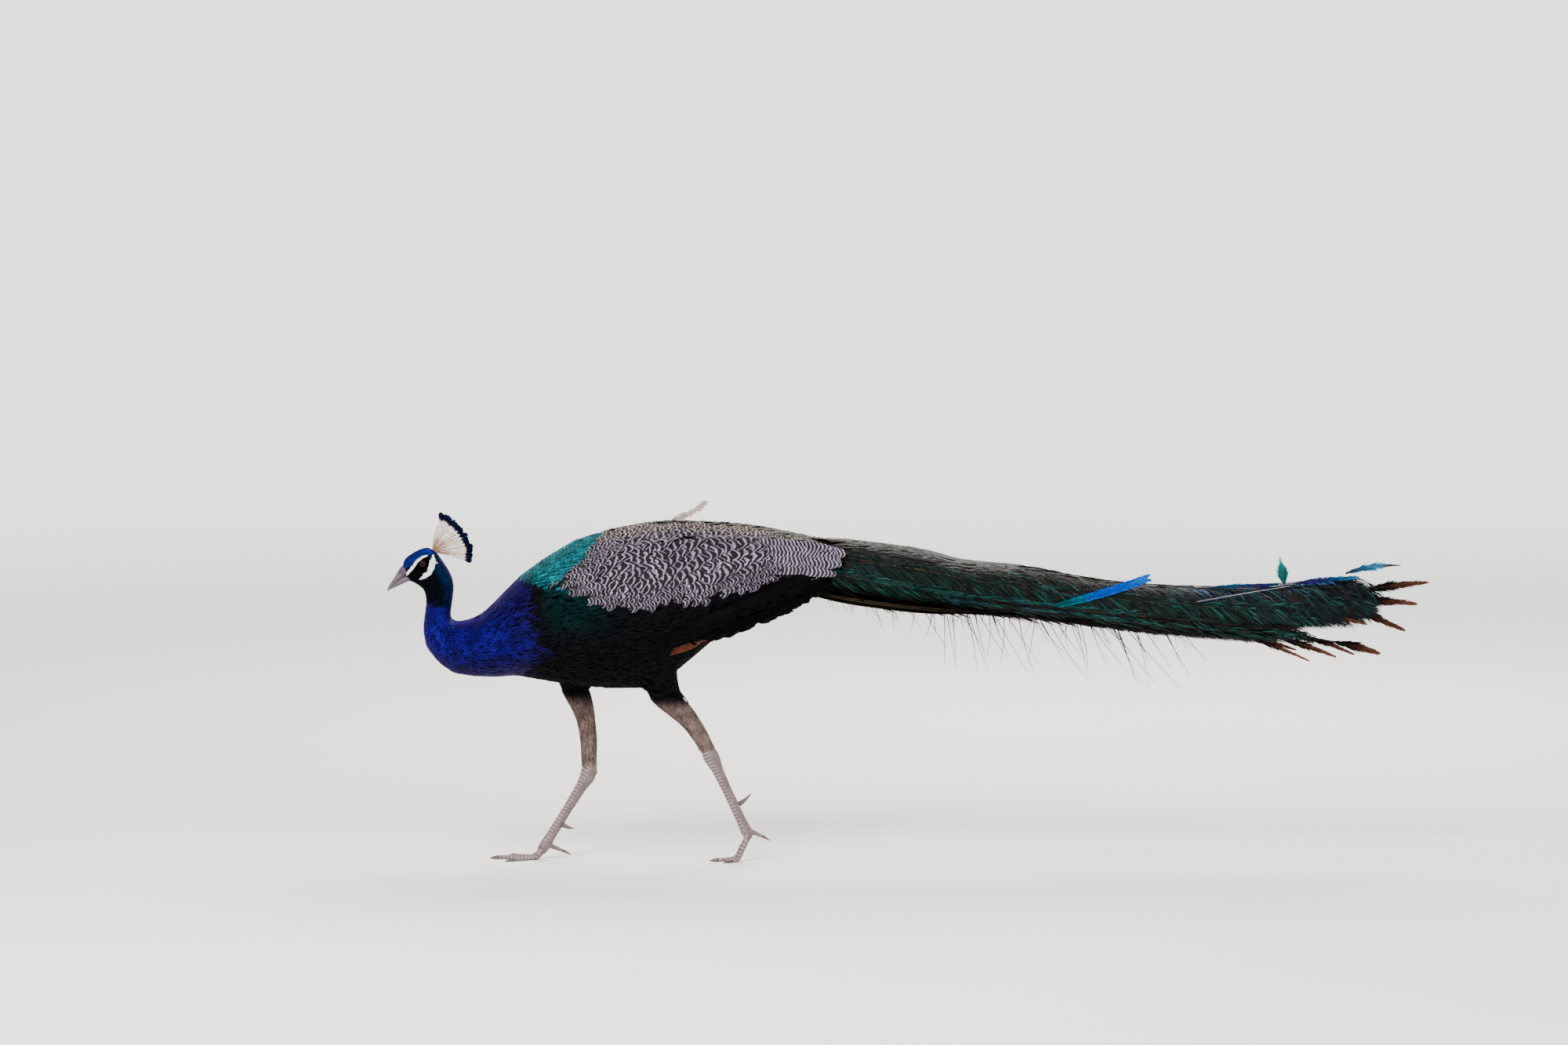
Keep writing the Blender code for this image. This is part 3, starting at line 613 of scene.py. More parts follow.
def joined(name, points, faces, finish, tint, quill, spot):
    """One mesh from many copies. points is copies x pattern x 3; tint and quill match it."""
    copies, size = points.shape[:2]
    all_faces = (faces[None] + size * np.arange(copies)[:, None, None]).reshape(-1, faces.shape[1])
    mesh = bpy.data.meshes.new(name)
    mesh.vertices.add(copies * size)
    mesh.vertices.foreach_set("co", points.astype(np.float32).ravel())
    mesh.loops.add(all_faces.size)
    mesh.loops.foreach_set("vertex_index", all_faces.astype(np.int32).ravel())
    mesh.polygons.add(len(all_faces))
    mesh.polygons.foreach_set("loop_start", np.arange(0, all_faces.size, faces.shape[1]))
    mesh.update(calc_edges=True)
    set_colours(mesh, "tint", tint.reshape(-1, 3))
    store(mesh, "quill", quill)
    uv = mesh.uv_layers.new(name="OFBake")
    uv.data.foreach_set("uv", spot.reshape(-1, 2)[all_faces.ravel()].astype(np.float32).ravel())
    return piece(name, mesh, finish)


def unwrap(at, turn, side):
    """A place on a map of the bird's own shape: distance along it, and turn round it."""
    return np.stack([0.02 + 0.96 * at / line_at[-1],
                     0.5 + np.sign(side) * (0.005 + 0.485 * turn / math.pi)], -1)


def vanes(name, path, side, half, outline, finish, tint, up=None, spots=None, across=2, dome=0.2,
          lag=0.6, rag=0.0, roll=False):
    """Feather vanes, or rolled shafts, along paths. path, side and up are copies x steps x 3."""
    copies, steps = path.shape[:2]
    ahead = unit(np.gradient(path, axis=1))
    up = unit(np.cross(side, ahead)) if up is None else up
    if spots is None:
        at, turn, _ = locate(path[:, 0])
        spots = unwrap(at, turn, path[:, 0, 1])
    path, side, up, ahead = (v[:, :, None] for v in (path, side, up, ahead))
    half = np.broadcast_to(half, copies)
    a = np.linspace(-1, 1, across + 1)[None, None, :, None]
    t = np.linspace(0, 1, steps)[None, :, None, None]
    reach = (half[:, None] * np.asarray(outline))[:, :, None, None]
    if roll:
        points = path + reach * (side * np.sin(math.pi * a) + up * np.cos(math.pi * a))
    else:
        points = path + side * a * reach + up * dome * reach * (1 - a * a)
        points = points - ahead * lag * reach * a * a * t ** 1.5
    if rag:
        loose = chance.uniform(-1, 0.3, (copies, steps, across + 1, 1)) * rag
        points = points + ahead * loose * half[:, None, None, None] * t ** 3
    full = (copies, steps, across + 1)
    luck = chance.random(copies)[:, None, None]
    quill = np.stack([np.broadcast_to(v, full) for v in (t[..., 0], a[..., 0], luck)], -1)
    tint = np.asarray(tint)
    tint = np.broadcast_to(tint[:, None, None] if tint.ndim == 2 else tint, (*full, 3))
    spot = spots[:, None, None] + PATCH * np.stack([quill[..., 0] - 0.5, quill[..., 1] / 2], -1)
    faces = vane_pattern(steps - 1, across)
    groups = max(1, math.ceil(2 * copies * len(faces) / MOST))
    for i, chosen in enumerate(np.array_split(np.arange(copies), groups)):
        pieces.append(joined(name if groups == 1 else f"{name}_{i + 1}",
                             points[chosen].reshape(len(chosen), -1, 3), faces, finish,
                             tint[chosen], quill[chosen], spot[chosen]))
    print(name, copies, "vanes,", 2 * copies * len(faces), "triangles")


# %% Roots on the skin
def cover(*meshes):
    """A search tree over some meshes, with the way out of each of their faces."""
    points, faces, out = [], [], []
    for mesh in meshes:
        start = sum(len(p) for p in points)
        faces += [tuple(start + i for i in face.vertices) for face in mesh.polygons]
        out += [tuple(face.normal) for face in mesh.polygons]
        points.append(points_of(mesh))
    return BVHTree.FromPolygons([Vector(p) for p in np.concatenate(points)], faces), np.array(out)


skin_cover = cover(skin.data)
skin.data.calc_loop_triangles()
triangles = np.empty(len(skin.data.loop_triangles) * 3, np.int32)
skin.data.loop_triangles.foreach_get("vertices", triangles)
triangles = triangles.reshape(-1, 3)


def on_skin(points, over_what=skin_cover):
    """The nearest points of the skin, and the way out of it there."""
    tree, out = over_what
    hits = [tree.find_nearest(Vector(p)) for p in points]
    return np.array([h[0] for h in hits]), out[[h[2] for h in hits]]


def scattered(region, spacing, crowd=5.0):
    """Random roots that keep their distance: each one clears a circle round itself."""
    corners = skin_points[triangles]
    centre = corners.mean(1)
    at, turn = skin_at[triangles].mean(1), skin_turn[triangles].mean(1)
    area = np.linalg.norm(np.cross(corners[:, 1] - corners[:, 0],
                                   corners[:, 2] - corners[:, 0]), axis=1) / 2
    wish = area / spacing(at) ** 2 * region(centre)
    picks = chance.choice(len(wish), int(wish.sum() * crowd * DRAFT), p=wish / wish.sum())
    share = chance.dirichlet((1, 1, 1), len(picks))
    spots = (corners[picks] * share[..., None]).sum(1)
    gap = spacing(at[picks]) + np.zeros(len(picks))
    tree = KDTree(len(spots))
    for i, spot in enumerate(spots):
        tree.insert(spot, i)
    tree.balance()
    free, kept = np.ones(len(spots), bool), []
    for i in range(len(spots)):
        if free[i]:
            kept.append(i)
            for _, j, _ in tree.find_range(spots[i], gap[i]):
                free[j] = False
    return spots[kept]


def in_rows(start, stop, step, gap, jitter=0.12):
    """Roots in staggered rows round the body line, as on most feather tracts."""
    found = []
    for k, at in enumerate(np.arange(start, stop, step)):
        centre, up = (sampled(at, line_at, rows) for rows in (line, line_up))
        for side in (-1, 1):
            turns = np.linspace(0.01, math.pi - 0.01, 60)
            ways = np.cos(turns)[:, None] * up + np.sin(turns)[:, None] * np.array((0, side, 0))
            hits = [skin_cover[0].ray_cast(Vector(centre), Vector(w), 0.3)[0] for w in ways]
            if None in hits:
                continue
            ring = np.array(hits)
            arc = travel(ring)
            places = np.arange(gap * (0.25 + 0.5 * (k % 2)), arc[-1], gap)
            places = places + chance.uniform(-jitter, jitter, len(places)) * gap
            found.append(sampled(places, arc, ring))
    found = np.concatenate(found)
    return found + chance.uniform(-jitter, jitter, found.shape) * step * (1, 0, 0)


def both_sides(rows):
    """Points given as x, distance from the middle and z, on the left side and then on the right."""
    return np.array([(x, side * y, z) for side in (-1, 1) for x, y, z in rows])


# %% Feathers that follow the skin
OUTLINES = {"body": [0.35, 0.85, 1.0, 0.80, 0.35], "scale": [0.45, 0.9, 1.0, 0.92, 0.50],
            "wing": [0.30, 0.75, 0.95, 1.0, 0.97, 0.80, 0.40]}
TOO_CURLED, TOO_STEEP, SHARP_EDGE = 0.72, -0.75, 0.55


def grow(name, roots, length, half, lift, finish, outline="body", across=2, way=None, stray=0.08,
         sink=0.3, colours=None, vary=0.2, free=0.55, uneven=0.12, over_what=skin_cover, **shape):
    """Grows one feather from each root, laid back along the body over the skin."""
    outline = OUTLINES[outline] if isinstance(outline, str) else outline
    steps, count = len(outline) - 1, len(roots)
    at, turn, ahead = locate(roots)
    ahead = ahead if way is None else np.broadcast_to(way, roots.shape)
    length, half, lift = (np.broadcast_to(v, count) for v in (length, half, lift))
    length = length * chance.uniform(1 - uneven, 1 + uneven, count)
    here, out = on_skin(roots, over_what)
    spots = unwrap(at, turn, here[:, 1])
    tint = paint(here, at, turn) if colours is None else colours
    tint = tint * chance.uniform(1 - vary, 1 + 0.9 * vary, (count, 1))
    ahead = unit(ahead + chance.normal(0, stray, ahead.shape))
    backwards = (ahead * out).sum(1) < TOO_STEEP
    straight = np.zeros(count)
    path, ups, sides = [], [], []
    for k in range(steps + 1):
        share = k / steps
        ahead = unit(ahead - out * (ahead * out).sum(1, keepdims=True))
        path.append(here + out * (lift * (share ** 0.75 - sink * share ** 4))[:, None])
        ups.append(out)
        sides.append(unit(np.cross(ahead, out)))
        if k < steps:       # past a sharp edge of the skin the feather goes straight on
            beyond = here + ahead * (length / steps)[:, None]
            near, near_out = on_skin(beyond, over_what)
            edge = (out * near_out).sum(1, keepdims=True) < SHARP_EDGE
            straight += edge[:, 0] / steps
            here, out = np.where(edge, beyond, near), np.where(edge, out, near_out)
    path, ups, sides = (np.stack(v, 1) for v in (path, ups, sides))
    sides = unit(sides + ups * chance.normal(0, 0.13, (count, 1, 1)))
    curled = np.linalg.norm(path[:, -1] - path[:, 0], axis=1) < TOO_CURLED * length
    flat = ~(curled | backwards | (straight > free))
    vanes(name, path[flat], sides[flat], half[flat], outline, finish, tint[flat], ups[flat],
          spots[flat], across, **shape)


# %% [markdown]
# ## Finishes of the plumage
# The blues and greens of a peacock are not pigments but thin films over black, which is why they
# gleam like metal and change with the light. A dark metallic base with a coloured sheen comes
# close. The barred feathers carry no such film and stay matt.

# %% Plumage finishes
GLINT_TINT = (0.25, 0.3, 0.4, 1)


def fibres(along, across, count, slant):
    """The ridges of the barbs, which slope towards the tip on both sides of the shaft."""
    return (along * count + abs(across) * slant).sine()


def plumage(name, metallic, roughness, patchy=0.35, edge=0.35, sheen=0.0, sheen_tint=(1, 1, 1),
            glint=0.4):
    """A feather finish that takes its colour from the tint each copy carries."""
    finish = Finish(name, Metallic=metallic, Roughness=roughness, Sheen_Weight=sheen,
                    Sheen_Roughness=0.4, Sheen_Tint=(*sheen_tint, 1), Specular_IOR_Level=glint,
                    Specular_Tint=GLINT_TINT)
    along, across, _ = finish.quill()
    shade = 1 - patchy * finish.noise(75, 3).step(0.35, 0.65)
    shade = shade * (1 - edge * abs(across).step(0.55, 1.0)) * (0.55 + 0.45 * along.step(0.0, 0.6))
    grey = finish.node("ShaderNodeCombineXYZ", values=[shade, shade, shade])
    finish.feed("Base Color", finish.mix(1.0, finish.own("tint"), grey, blend="MULTIPLY"))
    return finish.bump(fibres(along, across, 38, 9), 0.0003, 0.35)


def bars(name, ink, pale, share=0.33, wave=0.8, bow=0.9, drift=0.3):
    """Wavy pale bars across dark feathers. The tint holds their number, warmth and start."""
    finish = Finish(name, Roughness=0.75, Specular_IOR_Level=0.2)
    along, across, luck = finish.quill()
    count, warm, start = finish.split(finish.own("tint", "Vector"))
    wander = ((finish.noise(110) - 0.5) * 1.3 + (finish.noise(420, 1) - 0.5) * 0.35) * wave
    bar = along * count + start + wander + luck * drift + across * across * bow
    ridge = abs(bar.fract() - 0.5) * 2
    width = 1 - share * (0.45 + 1.1 * finish.noise(90))
    lit = ridge.step(width - 0.10, width + 0.10)
    shade = finish.noise(30, 3).step(0.35, 0.65)
    soft = finish.mix(shade, pale, tuple(0.70 * c for c in pale))
    soft = finish.mix(warm, soft, (0.36, 0.275, 0.23))
    dark = finish.mottled(ink, tuple(2.2 * c for c in ink), 200)
    finish.feed("Base Color", finish.mix(lit, dark, soft))
    return finish.bump(fibres(along, across, 90, 14) + lit, 0.0003, 0.3)


silk = plumage("blue_silk", 0.60, 0.40, patchy=0.5, sheen=0.22, sheen_tint=(0.30, 0.16, 1.0))
dusk = plumage("black_plumes", 0.0, 0.80, patchy=0.3, glint=0.12)
down = plumage("brown_down", 0.0, 0.85, edge=0.2, glint=0.2)
scales = plumage("teal_scales", 0.55, 0.38, patchy=0.3, edge=0.85, sheen=0.2,
                 sheen_tint=(0.3, 1, 0.9))
bronze = plumage("bronze_scales", 0.35, 0.45, patchy=0.3, edge=0.85, glint=0.25)
barred = bars("barred_wing", (0.008, 0.006, 0.008), (0.235, 0.205, 0.285), wave=0.75, bow=0.75)
fine_bars = bars("barred_lobe", (0.010, 0.008, 0.010), (0.225, 0.200, 0.285), share=0.44,
                 wave=0.55, bow=0.25, drift=0.12)
hide = Finish("skin", Roughness=0.8, Specular_IOR_Level=0.05)
hide.feed("Base Color", hide.mix(hide.noise(160, 3), hide.own("tint"),
                                 hide.mix(0.45, hide.own("tint"), (0.0, 0.0, 0.0))))
hide.bump(hide.noise(900) + hide.noise(260), 0.0004, 0.5)
skin.data.materials.append(hide.material)

# %% Regions of the coat
SHIN_LINE = 0.262       # below this height the feathers are the short down of the shins


def is_shawl(points):
    x, z = points[:, 0], points[:, 2]
    return (z > np.interp(x, *SHAWL_LOW) + 0.002) & (x > -0.645) & (past_front(x, z) < 0.004)


def is_middle_back(points):
    wide = 0.020 + 0.020 * smooth(points[:, 0], -0.30, -0.14)
    return (abs(points[:, 1]) < wide) & (points[:, 0] > -0.40) & (points[:, 2] > 0.46)


def is_barred(points):
    return (barred_depth(points) > -0.003) & ~is_middle_back(points)


def body_region(points):
    x, y, z = points.T
    bare = (white_face(points) > -0.35) | (x < -0.7725)
    bare |= (round_eye(points)[1] < 1.75) & (x < -0.70)
    tucked = (barred_depth(points) > 0.010) | (is_shawl(points) & (x > -0.615))
    under_lobe = (x > -0.17) & (z > 0.435) & (abs(y) > 0.055)
    return ~(bare | tucked | (z < SHIN_LINE) | under_lobe) & (x < -0.115)


GROWTH_AT = [0.0, 0.025, 0.06, 0.10, 0.15, 0.22, 0.32, 0.50, 0.75]
GROWTH = {"spacing": [1.15, 1.25, 1.6, 2.0, 2.5, 3.4, 4.3, 5.0, 5.6],           # in mm
          "length": [2.2, 3.0, 4.6, 8.0, 12.0, 16.0, 19.0, 22.0, 24.0],
          "half": [0.75, 0.95, 1.2, 1.5, 1.9, 2.7, 3.4, 3.9, 4.3],
          "lift": [0.4, 0.7, 1.4, 2.6, 3.8, 5.0, 5.8, 6.2, 6.2]}


def growth(what, at):
    return np.interp(at, GROWTH_AT, GROWTH[what]) / 1000


# %% Head, neck, breast and belly
body_roots = scattered(body_region, lambda at: growth("spacing", at))
body_at, body_turn, body_way = locate(body_roots)
rising = smooth(body_roots[:, 0], -0.40, -0.34) * smooth(body_roots[:, 2], 0.33, 0.36)
body_way = unit(body_way * (1 - rising[:, None]) + rising[:, None] * np.array((0.94, 0, 0.34)))
gleaming = paint(body_roots, body_at, body_turn).max(1) > 0.035
for label, chosen, finish in (("blue_coat", gleaming, silk), ("black_coat", ~gleaming, dusk)):
    length, half, lift = (growth(what, body_at[chosen]) for what in ("length", "half", "lift"))
    grow(label, body_roots[chosen], length, half, lift, finish, rag=0.35, stray=0.07, dome=0.08,
         way=body_way[chosen], free=0.55 + 2 * (rising[chosen] > 0.5))

# %% The teal shawl, in rows of small round scales
shawl_roots = in_rows(0.18, 0.42, 0.0050, 0.0056, 0.06)
shawl_roots = shawl_roots[is_shawl(shawl_roots)]
grow("shawl", shawl_roots, 0.014, 0.0036, 0.006, scales, "scale", across=4, stray=0.03, lag=0.9,
     dome=0.12)

# %% The barred wing and shoulder feathers
# A barred feather carries, instead of a colour, its number of bars, a warmth and where they start.
WING_LENGTH, WING_HALF = 0.036, 0.0122
FILL_GAP = 0.0085


def large_bars(points):
    """1 on the middle of the wing, where the feathers are largest, and 0 towards its edges."""
    x, z = points[:, 0], points[:, 2]
    return (smooth(barred_depth(points), 0.010, 0.032) * smooth(x, -0.52, -0.45)
            * smooth(z, 0.512, 0.492) * smooth(x, -0.22, -0.26))


wide = in_rows(0.25, 0.84, 0.0118, 0.0165, 0.06)
narrow = in_rows(0.25, 0.84, 0.0085, 0.0110, 0.08)
wing_roots = np.concatenate([wide[large_bars(wide) > 0.5], narrow[large_bars(narrow) <= 0.5]])
wing_roots = wing_roots[is_barred(wing_roots)]
filling = scattered(is_barred, lambda at: FILL_GAP, 9)
far_off = np.array([np.linalg.norm(wing_roots - root, axis=1).min() for root in filling])
filling = filling[far_off > FILL_GAP + 0.0035 * large_bars(filling)]
wing_roots = np.concatenate([wing_roots, filling])
x, y, z = wing_roots.T
on_back = (abs(y) < 0.07) & (z > 0.47)
wing_roots = wing_roots[(x < np.where(on_back, -0.112, -0.128)) & ((x < -0.20) | (z > 0.437))]
x, y, z = wing_roots.T
inside = large_bars(wing_roots)
size = 0.62 + 0.38 * inside
count = WING_LENGTH * size / (0.0062 + 0.0046 * inside)
# The warmth is partly random and partly painted light: the bars turn warm buff on the top of the
# back, where the warm light falls.
warm = 0.75 * smooth(abs(y), 0.06, 0.03) * smooth(z, 0.46, 0.50)
grow("barred_coat", wing_roots, WING_LENGTH * size, WING_HALF * size,
     0.0062 - 0.0030 * smooth(x, -0.23, -0.20), barred, "wing", across=4, stray=0.04, rag=0.10,
     vary=0.0, colours=np.stack([count, warm + 0.12 * chance.random(len(x)), -count], 1))

# %% The long barred feathers that fold over the rump
LOBE = [(-0.235, 0.4560, 0.127, 0.0085), (-0.250, 0.4630, 0.148, 0.0095),      # x, z, length, half
        (-0.240, 0.4710, 0.143, 0.0100), (-0.262, 0.4780, 0.171, 0.0110),
        (-0.250, 0.4860, 0.160, 0.0115), (-0.268, 0.4940, 0.173, 0.0120),
        (-0.255, 0.5010, 0.150, 0.0115), (-0.270, 0.5080, 0.156, 0.0120)]
LOBE_BAR = 0.0056
lobe_roots = both_sides([(x, 0.085, z) for x, z, _, _ in LOBE])
lobe_length, lobe_half = np.tile([row[2:] for row in LOBE], (2, 1)).T
grow("barred_lobe", on_skin(lobe_roots)[0], lobe_length, lobe_half, 0.0078, fine_bars,
     [0.5, 0.8, 0.95, 1, 1, 1, 1, 1, 1, 0.97, 0.92, 0.85, 0.70, 0.40], across=6, stray=0.01,
     sink=-0.9, rag=0.05, dome=0.12, lag=0.35, uneven=0.02, way=unit((1.0, 0, 0.03)), vary=0.0,
     colours=np.stack([(lobe_length - 0.010) / LOBE_BAR, 0.1 + 0 * lobe_length,
                       lobe_roots[:, 0] / LOBE_BAR], 1))

# %% Bronze scales down the middle of the back, and longer ones over the rump
back_roots = in_rows(0.40, 0.80, 0.0085, 0.0095)
back_roots = back_roots[is_middle_back(back_roots)]
grow("back_scales", back_roots, 0.020, 0.0062, 0.006, bronze, "scale", across=4, stray=0.05,
     lag=0.9, dome=0.12)
rump_roots, rump_out = on_skin([(x, y, 0.52) for x in (-0.152, -0.140, -0.128)
                                for y in np.linspace(-0.045, 0.045, 10)])
grow("back_rump", rump_roots[rump_out[:, 2] > 0.85], 0.040, 0.0070, 0.008, bronze, "scale",
     across=4, stray=0.03, way=(1.0, 0.0, 0.0), lag=0.9, dome=0.12, free=2.0)

# %% Black flight feathers along the wing's lower edge, and a glimpse of rufous ones
flight_roots = both_sides([(-0.405 + 0.024 * k, 0.09, 0.352 + 0.0088 * k) for k in range(8)])
grow("flight_feathers", on_skin(flight_roots)[0], 0.105, 0.0105, 0.0075, dusk, "wing", across=4,
     way=unit([(1.0, 0, 0.36 - 0.020 * (k % 8)) for k in range(16)]), stray=0.015, lag=0.3,
     free=2.0, colours=(0.0055, 0.0045, 0.0050))
rufous_roots = both_sides([(-0.376 + 0.004 * k, 0.07, 0.3300 + 0.0040 * k) for k in range(4)])
grow("rufous_primaries", on_skin(rufous_roots)[0], 0.072, 0.0058, 0.0116, down,
     [0.6, 0.9, 1, 1, 0.9, 0.65, 0.2], across=4, stray=0.01, lag=0.2, free=2.0,
     way=unit((1.0, 0, 0.24)), colours=(0.12, 0.043, 0.029))

# %% [markdown]
# ## Eyes, lids and bill
# The eye is a glossy ball with a dark brown iris, set behind a rim of bare lid. The bill is two
# horny sheaths: each is drawn by extruding a ring from station to station, as clay is pulled, and
# reshaping it each time. The nostril is pressed into the finished sheath.


# %% Draw a ring along stations
def draw(bm, stations, segments=16, closed=False):
    """Extrudes a ring through stations (centre, side, up, taper); taper narrows its upper half."""
    kept = bm.verts.layers.float_vector.get("kept") or bm.verts.layers.float_vector.new("kept")
    ring = bmesh.ops.create_circle(bm, segments=segments, radius=1.0)["verts"]
    for vert in ring:
        vert[kept] = vert.co
    edges = list({edge for vert in ring for edge in vert.link_edges})
    for k, (centre, side, up, taper) in enumerate(stations):
        if k:
            made = bmesh.ops.extrude_edge_only(bm, edges=edges)["geom"]
            ring = [g for g in made if isinstance(g, bmesh.types.BMVert)]
            edges = [g for g in made if isinstance(g, bmesh.types.BMEdge)]
        for vert in ring:
            across, high, _ = vert[kept]
            vert.co = Vector(centre) + Vector(side) * across * (1 - taper * max(high, 0) ** 1.6)
            vert.co += Vector(up) * high
    if closed:
        bmesh.ops.remove_doubles(bm, verts=bm.verts[:], dist=1e-6)
    else:
        bmesh.ops.holes_fill(bm, edges=[e for e in bm.edges if e.is_boundary], sides=segments)
    bmesh.ops.recalc_face_normals(bm, faces=bm.faces[:])


def between(rows, count):
    """A few rows of numbers made into many by a smooth curve through them."""
    rows = np.array(rows, float)
    t = np.linspace(0, len(rows) - 1, count)
    i = np.minimum(t.astype(int), len(rows) - 2)
    f = (t - i)[:, None]
    p = [rows[np.clip(i + k, 0, len(rows) - 1)] for k in (-1, 0, 1, 2)]
    return 0.5 * (2 * p[1] + (p[2] - p[0]) * f + (2 * p[0] - 5 * p[1] + 4 * p[2] - p[3]) * f ** 2
                  + (3 * p[1] - p[0] - 3 * p[2] + p[3]) * f ** 3)


# %% The eyeballs and the rims of the lids
IRIS_STEP, PUPIL_STEP = (0.0044, 0.0051), (0.0021, 0.0024)
eye_bm, rim_bm = bmesh.new(), bmesh.new()
for side in (-1, 1):
    ball = bmesh.ops.create_uvsphere(eye_bm, u_segments=48, v_segments=24, radius=EYE_SIZE)["verts"]
    bmesh.ops.rotate(eye_bm, verts=ball, matrix=Matrix.Rotation(math.pi / 2, 3, "X"))
    for vert in ball:                               # the clear front bulges a little
        off = math.hypot(vert.co.x, vert.co.z)
        if vert.co.y * side > 0:
            vert.co.y += side * 0.0005 * max(0.0, 1 - (off / 0.0050) ** 2)
    bmesh.ops.translate(eye_bm, verts=ball, vec=(EYE.x, side * abs(EYE.y), EYE.z))
    stations = []
    for turn in np.linspace(0, 2 * math.pi, 49):
        x, z = 1.07 * LID_OPEN[0] * math.cos(turn), 1.07 * LID_OPEN[1] * math.sin(turn)
        y = abs(EYE.y) + math.sqrt((EYE_SIZE + 0.0003) ** 2 - x * x - z * z)
        out = Vector((x, side * (y - abs(EYE.y)), z)).normalized()
        across = out.cross(Vector((-math.sin(turn), 0, math.cos(turn)))).normalized()
        stations.append(((EYE.x + x, side * y, EYE.z + z), across * 0.00055, out * 0.0004, 0))
    draw(rim_bm, stations, 8, closed=True)
gaze = Finish("eye", Roughness=0.5, Specular_IOR_Level=0.05, Coat_Weight=0.15, Coat_Roughness=0.02)
eye_x, _, eye_z = gaze.split(gaze.place())
off = ((eye_x - EYE.x) * (eye_x - EYE.x) + (eye_z - EYE.z) * (eye_z - EYE.z)) ** 0.5
iris = gaze.mottled((0.036, 0.011, 0.007), (0.013, 0.004, 0.003), 900, 3)
iris = gaze.mix(off.step(*IRIS_STEP), iris, (0.006, 0.004, 0.004))
gaze.feed("Base Color", gaze.mix(off.step(*PUPIL_STEP), (0.002, 0.002, 0.002), iris))
lid = Finish("lid_skin", Roughness=0.5)
lid.feed("Base Color", lid.mottled((0.006, 0.005, 0.006), (0.016, 0.012, 0.014), 1200))
pieces += [piece("eyes", eye_bm, gaze), piece("lid_rims", rim_bm, lid)]

# %% The bill
# Rows: ridge x and z, edge x and z, half width, narrowing towards the ridge.
UPPER_BILL = [(-0.7675, 0.4585, -0.7620, 0.4385, 0.0088, 0.25),
              (-0.7735, 0.4538, -0.7670, 0.4384, 0.0080, 0.30),
              (-0.7790, 0.4466, -0.7755, 0.4333, 0.0066, 0.38),
              (-0.7858, 0.4352, -0.7848, 0.4262, 0.0048, 0.40),
              (-0.7923, 0.4258, -0.7905, 0.4197, 0.0029, 0.30),
              (-0.7954, 0.4188, -0.7940, 0.4158, 0.0013, 0.1),
              (-0.7955, 0.4160, -0.7950, 0.4148, 0.0004, 0.0)]
LOWER_BILL = [(-0.7612, 0.4402, -0.7600, 0.4312, 0.0074, 0.0),
              (-0.7686, 0.4392, -0.7655, 0.4298, 0.0066, 0.0),
              (-0.7773, 0.4344, -0.7735, 0.4262, 0.0055, 0.0),
              (-0.7860, 0.4272, -0.7838, 0.4214, 0.0037, 0.0),
              (-0.7915, 0.4216, -0.7898, 0.4186, 0.0014, 0.0)]
NOSTRIL, SLIT_X, SLIT_Z = Vector((-0.7762, 0, 0.4440)), -0.62, -0.78
horn = Finish("bill_horn", Roughness=0.40, Specular_IOR_Level=0.35, Coat_Weight=0.08,
              Coat_Roughness=0.3)
for label, rows, count, segments in (("upper_bill", UPPER_BILL, 40, 40),
                                     ("lower_bill", LOWER_BILL, 26, 28)):
    bill, stations = bmesh.new(), []
    for ridge_x, ridge_z, edge_x, edge_z, half, taper in between(rows, count):
        stations.append((((ridge_x + edge_x) / 2, 0, (ridge_z + edge_z) / 2), (0, half, 0),
                         ((ridge_x - edge_x) / 2, 0, (ridge_z - edge_z) / 2), taper))
    draw(bill, stations, segments)
    for vert in bill.verts if label == "upper_bill" else ():
        gap = Vector((vert.co.x, 0, vert.co.z)) - NOSTRIL
        along, across = gap.dot(Vector((SLIT_X, 0, SLIT_Z))), gap.dot(Vector((-SLIT_Z, 0, SLIT_X)))
        slit = math.exp(-(along / 0.0023) ** 2 - (across / 0.0007) ** 2)
        flap = math.exp(-(along / 0.0030) ** 2 - ((across + 0.0016) / 0.0011) ** 2)
        if abs(vert.co.y) > 0.001:
            vert.co.y += math.copysign(0.0005 * flap - 0.0013 * slit, vert.co.y)
    pieces.append(piece(label, bill, horn))
horn_x, _, horn_z = horn.split(horn.place())
tip = (horn_x * -1.0).step(0.780, 0.797)
grain = horn.noise(240, 3, stretch=(1, 4, 1))
colour = horn.mix(tip, horn.mix(grain, (0.046, 0.034, 0.052), (0.095, 0.074, 0.102)),
                  horn.mix(grain, (0.20, 0.14, 0.12), (0.32, 0.23, 0.19)))
# The nostril's slit is painted dark, as painted shade inside the opening.
hole_x, hole_z = horn_x - NOSTRIL.x, horn_z - NOSTRIL.z
along, across = hole_x * SLIT_X + hole_z * SLIT_Z, hole_x * -SLIT_Z + hole_z * SLIT_X
nostril_shade = ((along / 0.0026) * (along / 0.0026) + (across / 0.0009) * (across / 0.0009)).step(1.3, 0.5)
colour = horn.mix(nostril_shade, colour, (0.020, 0.014, 0.018))
low_edge = (horn_z + horn_x * 0.80).step(-0.1795, -0.1765)
horn.feed("Base Color", horn.mix(low_edge, (0.105, 0.088, 0.106), colour))
horn.bump(grain + horn.noise(1500), 0.00012, 0.5)

# %% [markdown]
# ## The crest
# A fan of two dozen bare shafts stands on the crown, each ending in a small dark blue vane like a
# paddle. The shafts are thin rolled strips. Each paddle is a wide vane with a second one turned
# across it, so that it shows from every side.

